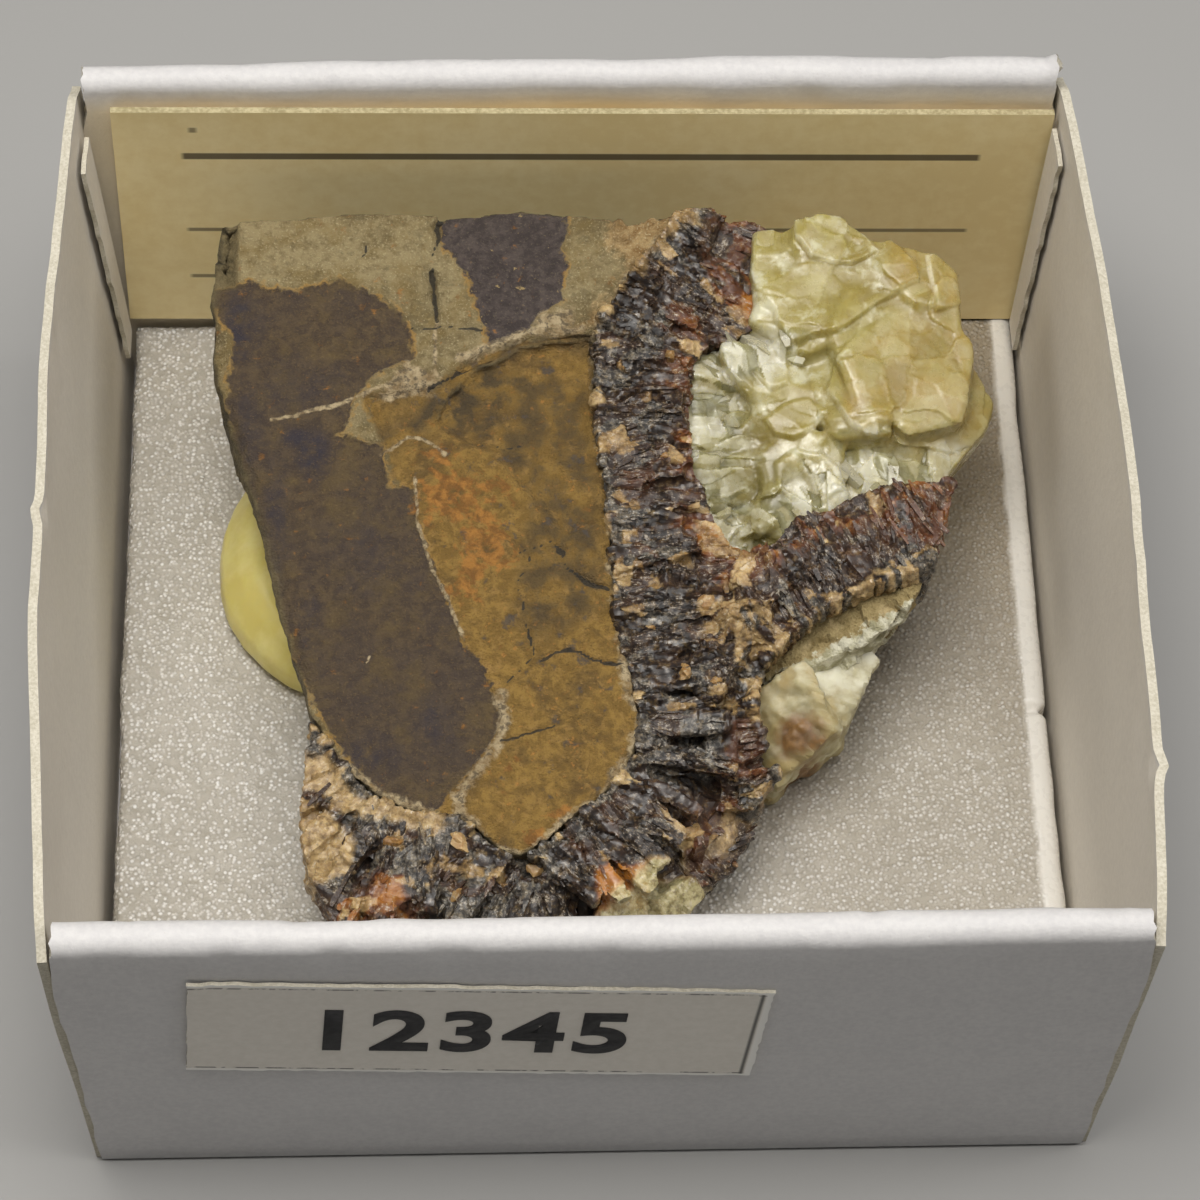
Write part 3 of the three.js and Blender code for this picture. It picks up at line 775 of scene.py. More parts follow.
def padSheet():
    # the top as a fine grid, drawn out over a rounded edge and down the sides
    piece, flat = gridPiece("foamPad", *pad["cells"])
    top = np.array(pad["half"]) - pad["edge"]
    movePoints(piece, np.column_stack([flat[:, :2] * top, np.full(len(flat), pad["high"])]))
    corners = piece.data.vertices
    limits = [float(side) * mm for side in top]

    def onRim(edge):
        ends = [corners[i].co for i in edge.vertices]
        return any(all(abs(abs(p[axis]) - limits[axis]) < 1e-6 for p in ends) for axis in (0, 1))

    selectWhere(piece, "EDGE", onRim)
    down, before = 0.0, 0.0
    for turn in range(1, pad["edgeSteps"] + 1):
        angle = math.pi / 2 * turn / pad["edgeSteps"]
        out, fall = math.sin(angle) * pad["edge"], (1 - math.cos(angle)) * pad["edge"]
        bpy.ops.mesh.extrude_region_move(TRANSFORM_OT_translate={"value": (0, 0, -(fall - down) * mm)})
        wider = (top + out) / (top + before)
        bpy.ops.transform.resize(value=(wider[0], wider[1], 1), center_override=(0, 0, 0))
        down, before = fall, out
    deeper = (pad["high"] - pad["low"] - pad["edge"]) / pad["sideSteps"]
    for _ in range(pad["sideSteps"]):
        bpy.ops.mesh.extrude_region_move(TRANSFORM_OT_translate={"value": (0, 0, -deeper * mm)})
    bpy.ops.mesh.edge_face_add()
    bpy.ops.mesh.select_all(action="SELECT")
    bpy.ops.mesh.normals_make_consistent(inside=False)
    bpy.ops.object.mode_set(mode="OBJECT")
    return piece


def buildPad():
    piece = padSheet()
    points, normals = pointsOf(piece), normalsOf(piece)
    strip = ramp(points[:, 0] + 0.06 * noise(points, 0.8, 9), 19.35, 19.5)  # the smooth cut side
    nicks = sum(np.exp(-((points[:, 1] - y) / 0.22) ** 2) for y in pad["nicks"])
    _, number, edge = cells(points * (1, 1, 0.6), pad["bubble"], 4)
    pillow = (0.055 * ramp(edge, 0.0, 0.16) + 0.05 * number) * (1 - strip) + strip * (0.16 - 0.35 * nicks)
    waves = 0.09 * noise(points, 4.5, 6) + 0.05 * noise(points, 1.4, 7)
    skin = ramp(points[:, 2], pad["low"] + 0.2, pad["low"] + 1.0)
    points += normals * ((pillow + waves - 0.09) * skin)[:, None]
    points[:, 2] = np.maximum(points[:, 2], pad["low"] + 0.001)
    movePoints(piece, points)
    x, y, _ = points.T
    paint(piece, "smoothEdge", strip)
    # painted shade and warm bounce light: the pad darker and creamier towards the back right
    paint(piece, "paintedBackShade", 0.3 * ramp(x, 4, 12) + 0.7 * ramp(y + 0.7 * x, 4, 26))
    smoothShade(piece)
    finish(piece, foamMaterial(), "foam_pad", "foam_pad")


def foamMaterial():
    material, tree, shader = newMaterial(
        "whiteFoam", Roughness=0.4, Subsurface_Weight=0.25, Subsurface_Scale=0.5 * mm
    )
    shader.inputs["Subsurface Radius"].default_value = (1.0, 0.95, 0.9)
    place = put(tree, "TexCoord").outputs["Object"]
    bubbles = put(tree, "TexVoronoi", {"Vector": place, "Scale": 1 / (pad["bubble"] / 2 * mm)})
    oneOf = put(tree, "SeparateColor", {"Color": bubbles.outputs["Color"]}).outputs["Red"]
    wideMask, _ = grain(tree, 0.9, 0.4)
    _, fine = grain(tree, 0.12)
    fromMiddle = bubbles.outputs["Distance"]
    round_ = spread(tree, fromMiddle, 0.6, 0.15)
    paintedGlints = times(tree, spread(tree, fromMiddle, 0.48, 0.24), spread(tree, oneOf, 0.25, 0.95))
    smooth = mask(tree, "smoothEdge")
    # painted light: bubble middles lighter and their rims darker as painted shade, with painted glints on
    # some bubbles
    colour = coats(
        tree, (170, 164, 152),
        ((184, 178, 167), wideMask),
        ((214, 209, 201), round_),
        ((244, 242, 238), paintedGlints, 0.9),
        # painted shade towards the back right of the pad
        ((142, 128, 104), mask(tree, "paintedBackShade"), 0.78),
        ((222, 218, 210), smooth),
    )
    dress(tree, shader, colour, spread(tree, oneOf, 0.2, 0.8, 0.55, 0.25))
    height = times(tree, plus(tree, round_, times(tree, fine, 0.5)), spread(tree, smooth, 0.0, 1.0, 1.0, 0.1))
    bump(tree, shader, height, 0.07, 0.9)
    return material


buildPad()
print("stage: foam pad")


# The name card, blank but for its ruled lines

nameCard = {
    "width": 41.0,
    "height": 15.2,
    "thickness": 0.3,
    "middle": (0.15, 19.05, 12.65),
    "turn": 1.0,
    "cells": (82, 30),
    "lines": [(0.8, 0.012, 0.85), (0.45, 0.006, 0.7), (0.22, 0.006, 0.7)],  # height, half width, darkness
}


def turned(x, z, degrees):
    # turns a sheet's x and height in its own plane
    turn = math.radians(degrees)
    return x * math.cos(turn) + z * math.sin(turn), z * math.cos(turn) - x * math.sin(turn)


def paintPlace(piece, flat, name):
    # how far across and up its sheet a point lies, for printed lines
    paint(piece, "across" + name, flat[:, 0] / 2 + 0.5)
    paint(piece, "up" + name, flat[:, 1] / 2 + 0.5)


def buildNameCard():
    piece, flat = gridPiece("nameCard", *nameCard["cells"])
    x, z = turned(flat[:, 0] * nameCard["width"] / 2, flat[:, 1] * nameCard["height"] / 2, nameCard["turn"])
    points = np.stack([x, np.full(len(x), -nameCard["thickness"] / 2), z], axis=1)
    movePoints(piece, points + np.array(nameCard["middle"]))
    paintPlace(piece, flat, "Card")
    faceOutward(piece, forwards)
    edgeMaterial = twoTone("creamCardEdge", (146, 134, 98), (186, 175, 138), 0.15, 0.4, Roughness=0.8)[0]
    thicken(piece, nameCard["thickness"], nameCardMaterial(), edgeMaterial)
    smoothShade(piece, 40)
    finish(piece, None, "name_label", "name_label")


def ruled(tree, up, height, width):
    # a printed line at a height up the sheet
    away = put(tree, "Math", {0: minus(tree, up, height)}, operation="ABSOLUTE").outputs[0]
    return spread(tree, away, width, width + 0.004, 1.0, 0.0)


def nameCardMaterial():
    material, tree, shader = newMaterial("creamCard", Roughness=0.6)
    shade, _ = grain(tree, 0.9, 0.8)
    colour = over(tree, (238, 217, 160), (246, 228, 176), shade)
    across, up = mask(tree, "acrossCard"), mask(tree, "upCard")
    inside = times(tree, spread(tree, across, 0.07, 0.075), spread(tree, across, 0.925, 0.93, 1.0, 0.0))
    for place, width, dark in nameCard["lines"]:
        line = times(tree, times(tree, ruled(tree, up, place, width), inside), dark)
        colour = over(tree, colour, (52, 44, 34), line)
    speck = times(tree, ruled(tree, across, 0.085, 0.002), ruled(tree, up, 0.92, 0.009))
    colour = over(tree, colour, (96, 84, 62), times(tree, speck, 0.7))
    dress(tree, shader, colour)
    _, fibres = grain(tree, 0.15)
    bump(tree, shader, fibres, 0.012, 0.5)
    return material


buildNameCard()
print("stage: name card")


# The number sticker on the front wall, with plain counting digits

sticker = {
    "width": 22.8,
    "height": 8.3,
    "thickness": 0.15,
    "gap": 0.02,
    "middle": (-4.9, 13.6),
    "turn": 3.8,
    "cells": (140, 52),
    "frame": (0.965, 0.032),  # heights of the printed frame's upper and lower lines
    "digits": "12345",
    "digitHeight": 4.0,
    "digitStretch": 0.9,
    "digitWeight": 0.028,
    "digitSpacing": 1.12,
    "ink": 0.03,
}


def onFrontWall(points):
    # from the sticker's own x, depth and height to the leaned front wall
    lean = math.atan(tray["frontFlare"] / tray["frontHeight"])
    c, s = math.cos(lean), math.sin(lean)
    x, z = turned(points[:, 0], points[:, 2], sticker["turn"])
    x, z = x + sticker["middle"][0], z + sticker["middle"][1]
    y = points[:, 1] - sticker["gap"]
    return np.stack([x, y * c - z * s - tray["depth"] / 2, y * s + z * c], axis=1)


def stickerMaterial():
    # white where the scissors cut, with dark bits of the sheet's printed frame left beside it
    material, tree, shader = newMaterial("stickerPaper", Roughness=0.55)
    shade, _ = grain(tree, 0.4, 0.3)
    _, broken = grain(tree, 0.5, 1.0)
    _, fibres = grain(tree, 0.14)
    across, up = mask(tree, "acrossSticker"), mask(tree, "upSticker")
    white = plus(tree, spread(tree, up, 0.974, 0.982), spread(tree, up, 0.024, 0.016))
    white = maths(tree, "MAXIMUM", white, spread(tree, across, 0.986, 0.99))
    left = spread(tree, broken, 0.46, 0.54)
    frames = [((52, 50, 46), times(tree, ruled(tree, up, at, 0.004), left), 0.85) for at in sticker["frame"]]
    colour = coats(
        tree, (222, 216, 205),
        ((229, 223, 213), shade),
        *frames,
        ((52, 50, 46), ruled(tree, across, 0.982, 0.0012), 0.9),
        ((244, 242, 236), white),
    )
    dress(tree, shader, colour)
    bump(tree, shader, fibres, 0.01, 0.4)
    return material


def inkMaterial():
    return twoTone("blackInk", (26, 25, 26), (44, 43, 44), 0.3, 0.5, Roughness=0.85)[0]


def buildSticker():
    piece, flat = gridPiece("stickerPaper", *sticker["cells"])
    paintPlace(piece, flat, "Sticker")
    x = flat[:, 0] * sticker["width"] / 2
    z = flat[:, 1] * sticker["height"] / 2
    nibble = 0.07 * noise(np.stack([x, z, x * 0], axis=1), 0.35, 3)  # scissor-cut, a little uneven
    x = x + np.sign(flat[:, 0]) * nibble * ramp(np.abs(flat[:, 0]), 0.985, 1)
    z = z + np.sign(flat[:, 1]) * nibble * ramp(np.abs(flat[:, 1]), 0.96, 1)
    lift = 0.05 * ramp(np.abs(flat[:, 0]), 0.9, 1) * ramp(flat[:, 1], 0.2, 1)
    movePoints(piece, onFrontWall(np.stack([x, -sticker["thickness"] - lift, z], axis=1)))
    faceOutward(piece, forwards)
    thicken(piece, sticker["thickness"], stickerMaterial(), cutEdgeMaterial())
    smoothShade(piece, 40)
    finish(piece, None, "number_sticker", "number_sticker")


def buildDigits():
    bpy.ops.object.select_all(action="DESELECT")
    bpy.ops.object.text_add()
    text = bpy.context.object.data
    text.body = sticker["digits"]
    text.align_x = "CENTER"
    text.align_y = "CENTER"
    text.size = 1.0
    text.offset = sticker["digitWeight"]
    text.space_character = sticker["digitSpacing"]
    bpy.ops.object.convert(target="MESH")
    digits = bpy.context.object
    digits.name = "stickerDigits"
    flat = cornersOf(digits)
    low, high = flat.min(axis=0), flat.max(axis=0)
    scale = sticker["digitHeight"] / (high[1] - low[1])
    x = (flat[:, 0] - (low[0] + high[0]) / 2) * scale * sticker["digitStretch"]
    z = (flat[:, 1] - (low[1] + high[1]) / 2) * scale
    y = np.full(len(x), -sticker["thickness"] - 0.035)
    movePoints(digits, onFrontWall(np.stack([x, y, z], axis=1)))
    faceOutward(digits, forwards)
    thicken(digits, sticker["ink"], inkMaterial())
    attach(digits, "root")


buildSticker()
buildDigits()
print("stage: number sticker")


# The putty

putty = {"grown": 0.12, "voxel": 0.16, "melted": 8, "bottom": 4.42}


def puttyMaterial():
    material, tree, shader, height = twoTone(
        "yellowPutty", (206, 192, 112), (222, 212, 144), 2.2, 0.6,
        Roughness=0.42, Subsurface_Weight=0.5, Subsurface_Scale=2.0 * mm,
    )
    shader.inputs["Subsurface Radius"].default_value = (1.0, 0.8, 0.2)
    bump(tree, shader, height, 0.12, 0.5)
    return material


def buildPutty():
    piece = grownCopy("putty", "puttyBall", putty)
    melt(piece, putty["melted"])
    points, normals = pointsOf(piece), normalsOf(piece)
    dents = 0.14 * noise(points, 2.6, 5) + 0.03 * noise(points, 0.7, 6)
    points += normals * (dents * ramp(points[:, 2], 4.5, 5.2))[:, None]
    points[:, 2] = np.maximum(points[:, 2], putty["bottom"])
    movePoints(piece, points)
    smoothShade(piece)
    finish(piece, puttyMaterial(), "putty", "putty")


buildPutty()
print("stage: putty")


# The stone's outlines on its broken face: (u, v) pairs

faceEdge = [
    (-15.6, 16.3), (-13, 16.5), (-10, 16.9), (-6, 16.7), (-3, 16.8), (1, 16.6), (2.2, 16.2), (5, 16.7),
    (7.5, 16.7), (9.2, 15.9), (11, 16.5), (12.6, 15.5), (15.3, 14.9), (16.5, 13.6), (16.5, 11.6), (18, 9.9),
    (18.2, 8.4), (16.4, 5.2), (15.8, 2.8), (14.8, 0.2), (13.4, -1.6), (12.8, -2.8), (12, -4.2), (11.2, -5.8),
    (10, -7), (8.7, -8), (7.9, -9.2), (6.9, -11), (5.9, -12.9), (4.4, -14.8), (2.2, -16.8), (-1.5, -17.7),
    (-5.5, -17.9), (-9, -17.2), (-11, -15.2), (-11.9, -13), (-12, -10), (-11.7, -6.6), (-12.5, -4),
    (-13.6, 1), (-14.8, 5), (-15.8, 9), (-16.1, 12),
]
mudstoneContact = [
    (4.8, 18.5), (4.2, 16.4), (2.7, 14.2), (1.5, 12.4), (0.7, 11), (0.6, 8), (0.7, 5.6), (1, 3), (1.1, 0),
    (1.3, -3), (1.9, -5.8), (2.1, -7.4), (1.6, -9), (0.5, -10.4), (-1, -11.7), (-2.8, -13), (-4.2, -12.6),
    (-5.2, -11.5), (-7, -11.2), (-8.6, -10.5), (-10, -9.4), (-11, -8), (-11.9, -6.4), (-14, -5.6),
]
yellowContact = [
    (8.6, 18.5), (8.5, 16.4), (8.3, 14), (8.2, 12), (7.2, 11.1), (5.4, 10.4), (4.9, 9), (4.8, 6.6), (4.8, 5),
    (5.2, 3.4), (5.7, 2), (6.7, 0.9), (7.9, 1.2), (9, 2.2), (10.6, 2.9), (12.2, 3.7), (14, 4.1), (16, 4),
    (19.5, 3),
]
farContact = [
    (20, 3.2), (15, 0), (12.6, -0.9), (10.4, -1.9), (8.9, -2.9), (7.6, -4.2), (7, -5.9), (7.3, -7.6),
    (8.2, -9.8), (9, -12),
]
mudstoneSide = mudstoneContact + [(-20, -5.6), (-20, 20), (4.8, 20)]
yellowSide = yellowContact + [(22, 3), (22, 20), (8.6, 20)]
farSide = farContact + [(22, -12), (22, 3.2)]


def asField(depth, reach=1.5):
    # a depth inside a patch as 0 to 1, 0.5 on its edge
    return 0.5 + depth / (2 * reach)


def closerDetail(piece, lowest, steepest=0.55):
    # halves the mesh size on the broken face
    fine = (toFace(pointsOf(piece))[:, 2] > lowest) & (normalsOf(piece)[:, 2] > steepest)
    selectWhere(piece, "FACE", lambda face: all(fine[i] for i in face.vertices))
    bpy.ops.mesh.subdivide(number_cuts=1)
    bpy.ops.object.mode_set(mode="OBJECT")


def fewerFaces(piece, wanted, lowest):
    # thins the walls that lie deep under the broken face
    thin = piece.modifiers.new("thin", "DECIMATE")
    thin.ratio = wanted / trianglesOf(piece)
    thin.vertex_group = grouped(piece, toFace(pointsOf(piece))[:, 2] < lowest)
    applyModifiers(piece)
    piece.vertex_groups.clear()


def edged(tree, field, wander, height, soft=0.02):
    # turns a field into a mask whose edge wanders with a noise height
    shift = times(tree, minus(tree, height, 0.5), wander)
    return spread(tree, plus(tree, field, shift), 0.5 - soft, 0.5 + soft)


def crooked(tree, amount):
    # object coordinates pushed about by a noise, for lines that aren't straight
    place = put(tree, "TexCoord").outputs["Object"]
    push = put(tree, "TexNoise", {"Vector": place, "Scale": 1 / (1.1 * mm), "Detail": 2.0}).outputs["Color"]
    for value, operation in (((0.5, 0.5, 0.5), "SUBTRACT"), ((amount * mm,) * 3, "MULTIPLY"), (place, "ADD")):
        push = put(tree, "VectorMath", {0: push, 1: value}, operation=operation).outputs[0]
    return push


def crookedNoise(tree, size):
    inputs = {"Vector": crooked(tree, 0.6), "Scale": 1 / (size * mm), "Detail": 5.0, "Roughness": 0.62}
    return put(tree, "TexNoise", inputs).outputs["Fac"]


def mottle(tree, size, low, high, share=1.0):
    return times(tree, spread(tree, crookedNoise(tree, size), low, high), share)


# The mudstone

mudstone = {
    "grown": 0.16,
    "voxel": 0.2,
    "darkLobe": [
        (-16.6, 13.1), (-14, 13.4), (-13.6, 13.1), (-11.5, 13.1), (-10.4, 13.6), (-9, 12.7), (-7.6, 11.7),
        (-7.6, 11.2), (-7.2, 9.8), (-8.8, 9.1), (-9.8, 7.9), (-10.2, 6.5), (-10.6, 6.1), (-8.6, 5.6),
        (-8.4, 3.7), (-7.3, 3.6), (-7.2, 2.5), (-6.9, 1.2), (-6.4, -0.2), (-5.9, -1.8), (-5.2, -3.5),
        (-4.6, -4.3), (-4.1, -5.3), (-3.7, -7), (-4.1, -8), (-4.9, -9.3), (-5.6, -10), (-6.5, -11),
        (-7.3, -11.1), (-9.3, -9.7), (-10.2, -8.5), (-11.5, -6), (-12.3, -4.5), (-13.2, -1), (-13.9, 2),
        (-14.5, 4), (-15.3, 7), (-15.1, 9.5), (-15.1, 11), (-15.9, 12.2),
    ],
    "slatePatch": [
        (-5.8, 17.6), (-0.7, 17.6), (-0.5, 15.8), (-0.8, 15), (-0.5, 14.3), (-0.9, 13), (-0.8, 12.4),
        (-1.9, 11.6), (-2.2, 11), (-3.2, 10.5), (-4.1, 10.1), (-4.1, 11.2), (-4.8, 13.3), (-5.3, 14.5),
        (-6, 15.2),
    ],
    "ochreArea": [
        (-9.6, 8.1), (-6.2, 8.4), (-4.8, 9.8), (-2.5, 10.7), (2.5, 11), (4, -14), (-6, -14), (-8, 3.6),
        (-8.6, 5.6),
    ],
    "smokyStainAndStepShade": [
        (-6.8, 6.9), (-5.6, 8.9), (-4.3, 9.6), (-1.4, 9.4), (0.4, 8.6), (0.6, 2), (1, -2), (-1.4, -3.6),
        (-2.8, -4), (-3.4, -2), (-2.8, 1.4), (-2.8, 4), (-4.4, 5.6),
    ],
    "crustArea": [
        (-0.2, 11.2), (1.4, 12.6), (2.2, 14), (1.2, 15.2), (1.6, 17.6), (6, 17.6), (5, 15), (2, 10.8),
    ],
    "creamVeins": [
        ([(-13.4, 6.9), (-12, 7.2), (-10.8, 7.5), (-9.8, 7.9), (-8.6, 8.4), (-7.3, 8.6), (-6.6, 8.8)], 0.075),
        ([(-5.2, 9.7), (-3.9, 10.2), (-2.5, 10.8), (0, 11)], 0.2),
        ([(-8.7, 5.2), (-7.5, 6), (-6.9, 5.9), (-5.9, 5.1)], 0.08),
        ([(-7.3, 4), (-7.2, 2.5), (-6.6, 0), (-5.9, -1.7), (-5.1, -3.5)], 0.06),
        ([(-3.7, -6), (-3.6, -7), (-3.8, -8), (-4.3, -8.8), (-5, -9.8), (-5.6, -10.5), (-5.4, -11.5)], 0.22),
        ([(-6.4, 8.5), (-6.2, 11.5)], 0.08),
        ([(-9.35, -4.45), (-9.2, -4.1)], 0.035),
        ([(-11.9, -6.6), (-11.1, -8), (-10.2, -9), (-8.8, -10.2), (-7, -10.9)], 0.16),
    ],
    "plateEdge": [(-8.6, 5.9), (-7.2, 6.5), (-6.4, 7.6), (-5.6, 8.9), (-4.6, 9.8), (-2.5, 10.5), (0.4, 10.8)],
    "creamPatches": [
        [(-2.1, 11.1), (-1.6, 11.9), (-1, 11.7), (-0.4, 12.1), (-0.3, 11.2), (-1, 10.9)],
        [(-8.9, 7.8), (-7.6, 9.6), (-6.2, 9), (-6.4, 8.1)],
    ],
    "cracks": [
        ([(-5.9, 16.9), (-6.2, 15.5), (-6.4, 14.8), (-6.45, 13.5), (-6.2, 11.5)], 0.09, 0.3),
        ([(-2.8, 0.6), (-1.6, 1), (-1, 0.4), (-0.7, -0.3), (0, -0.8), (0.9, -1.1)], 0.09, 0.22),
        ([(-2.4, 0.5), (-2.9, -1), (-2.6, -3), (-2.4, -4.2), (-3.3, -5.4)], 0.05, 0.12),
        ([(-2.1, -4.3), (-1.4, -4), (-0.3, -4.1), (0.2, -4.5), (1.5, -4.6)], 0.06, 0.14),
        ([(-3.7, -8), (-2, -7.5), (0, -7)], 0.035, 0.06),
        ([(-7.4, 11.1), (-5.9, 11.25), (-4.3, 11.1)], 0.05, 0.12),
        ([(-9.3, 15.3), (-9.4, 14.7), (-9.5, 14.2)], 0.05, 0.1),
        ([(-4.8, 5.9), (-3.5, 5.5), (-2.7, 5.7)], 0.05, 0.08),
        ([(-6.6, 8.2), (-5.5, 9), (-4.2, 9.5)], 0.05, 0.1),
    ],
    # blue-grey spots; the long narrow ones along the dark lobe's left edge are painted shade
    "blueAndEdgeShadeSpots": [  # u, v, half width, half height, strength
        (-11.6, 5.3, 0.7, 1.3, 1.0), (-12.3, 6.0, 0.8, 0.5, 0.8), (-14.7, 11.4, 0.9, 1.8, 0.8),
        (-14.3, 6.5, 0.6, 2.4, 0.6), (-13.2, 2.0, 0.6, 3.4, 0.6), (-11.6, -3.4, 0.6, 3.0, 0.5),
        (-9.2, -8.6, 1.6, 1.2, 0.6), (-12.6, 8.6, 2.2, 1.2, 0.4), (-6.6, -7.2, 0.9, 1.4, 0.5),
        (-9.8, 0.5, 1.5, 2.2, 0.25),
    ],
    "rustSpots": [  # u, v, half width, half height, strength
        (-5.6, 3.1, 1.9, 1.5, 0.95), (-4.2, 3.4, 1.2, 1.0, 0.8), (-4.4, 1.6, 1.2, 1.1, 0.85),
        (-3.8, 0.5, 0.8, 1.2, 0.85), (-4.9, -0.6, 1.0, 1.6, 0.7), (-6.2, 5, 1.1, 0.8, 0.6),
        (-1.2, -11.4, 0.7, 0.5, 0.7), (-7.6, 12.8, 0.5, 0.5, 0.5), (-2.4, -12.3, 0.6, 0.5, 0.8),
        (-9.2, 12.2, 0.6, 0.3, 0.5), (0.1, 2.6, 0.5, 1.2, 0.3), (-3.6, -9.6, 0.7, 0.8, 0.35),
    ],
}


def spots(points, blots):
    total = np.zeros(len(points))
    for u, v, halfU, halfV, strength in blots:
        far = np.hypot((points[:, 0] - u) / halfU, (points[:, 1] - v) / halfV)
        total = np.maximum(total, strength * (1 - ramp(far, 0.3, 1.5)))
    return total


def mudstoneMaterial():
    material, tree, shader = newMaterial("mudstone", Roughness=0.72)
    _, fine = grain(tree, 0.1, 0.3)
    midMask, mid = grain(tree, 0.4, 0.8)
    wideMask, _ = grain(tree, 2.4, 0.5)
    moss = mottle(tree, 1.5, 0.5, 0.64)
    small = mottle(tree, 0.45, 0.42, 0.6)
    speck = spread(tree, fine, 0.58, 0.66)
    darkSpeck = spread(tree, fine, 0.44, 0.36)
    # a smoky stain on the ochre, with painted shade along the step below the olive plate
    smokyAndStepShade = times(tree, mask(tree, "smokyStainAndStepShade"), mottle(tree, 0.9, 0.4, 0.56))
    olive = coats(
        tree, (124, 108, 72),
        ((170, 153, 112), midMask),
        ((138, 116, 66), moss, 0.6),
        ((96, 86, 58), mottle(tree, 0.8, 0.56, 0.66, 0.5)),
        ((206, 192, 152), speck, 0.7),
    )
    ochre = coats(
        tree, (136, 106, 50),
        ((166, 132, 66), small),
        ((92, 72, 42), moss, 0.6),
        ((178, 142, 80), mottle(tree, 0.4, 0.55, 0.66, 0.6)),
        ((194, 138, 68), mottle(tree, 0.33, 0.62, 0.68, 0.7)),
        ((68, 58, 42), darkSpeck, 0.35),
        ((66, 59, 47), smokyAndStepShade, 0.85),
        ((88, 82, 78), mottle(tree, 0.75, 0.62, 0.68, 0.7)),
    )
    colour = over(tree, olive, ochre, edged(tree, mask(tree, "ochreArea"), 0.5, mid, 0.05))
    dark = coats(
        tree, (82, 68, 54),
        ((110, 92, 66), small, 0.8),
        ((80, 69, 64), wideMask, 0.6),
        ((118, 98, 58), moss, 0.5),
        ((64, 52, 44), mottle(tree, 0.16, 0.5, 0.66, 0.4)),
        # blue-grey tint, and painted shade along the lobe's left edge
        ((54, 52, 66), mask(tree, "blueTintAndEdgeShade"), mottle(tree, 0.7, 0.3, 0.6)),
        ((156, 128, 80), speck, 0.35),
    )
    slate = coats(
        tree, (70, 61, 59),
        ((96, 85, 80), small),
        ((152, 138, 112), speck, 0.35),
        ((186, 162, 112), spread(tree, mid, 0.66, 0.7), 0.9),
    )
    for name, inside in (("darkLobe", dark), ("slatePatch", slate)):
        field = mask(tree, name)
        rim = edged(tree, plus(tree, field, 0.05), 0.34, mid, 0.02)
        colour = coats(
            tree, colour,
            ((176, 140, 78), rim, mottle(tree, 0.8, 0.42, 0.58)),
            (inside, edged(tree, field, 0.34, mid, 0.02)),
        )
    rust = over(tree, (138, 94, 44), (190, 132, 62), small)
    rusty = plus(tree, times(tree, mask(tree, "rust"), 0.3), crookedNoise(tree, 0.5))
    colour = over(tree, colour, rust, times(tree, spread(tree, rusty, 0.64, 0.74), 0.85))
    crust = coats(
        tree, (146, 114, 68),
        ((192, 164, 116), midMask),
        ((222, 206, 170), speck, 0.8),
    )
    colour = over(tree, colour, crust, edged(tree, mask(tree, "crustArea"), 0.9, mid, 0.09))
    cream = coats(
        tree, (148, 124, 86),
        ((206, 186, 148), midMask),
        ((96, 84, 66), mottle(tree, 0.3, 0.5, 0.6, 0.8)),
    )
    colour = over(tree, colour, cream, edged(tree, mask(tree, "creamVein"), 0.9, mid, 0.12))
    side = over(tree, (74, 66, 44), (126, 112, 78), midMask)
    colour = coats(
        tree, colour,
        (side, mask(tree, "rockSide")),
        ((58, 54, 46), edged(tree, mask(tree, "crack"), 1.6, mid, 0.1), 0.9),
    )
    dress(tree, shader, colour, spread(tree, fine, 0.35, 0.65, 0.8, 0.46))
    bump(tree, shader, plus(tree, fine, mid), 0.2, 1.0)
    return material


def rockSides(points, normals, low):
    # breaks up the sides and the underside; the broken face keeps its shape
    onFace = ramp(normals[:, 2], 0.45, 0.8) * ramp(toFace(points)[:, 2], low, low + 0.5)
    centre, number, _ = cells(points, 2.3, 41)
    slope = (np.modf(number * 57)[0] - 0.5)[:, None]
    facet = (number - 0.5) * 0.5 + np.sum((points - centre) * slope, axis=1) * 0.16
    rough = 0.3 * roughNoise(points, 1.6, 44, 4) + 0.24 * facet
    return points + normals * (rough * (1 - onFace))[:, None], onFace


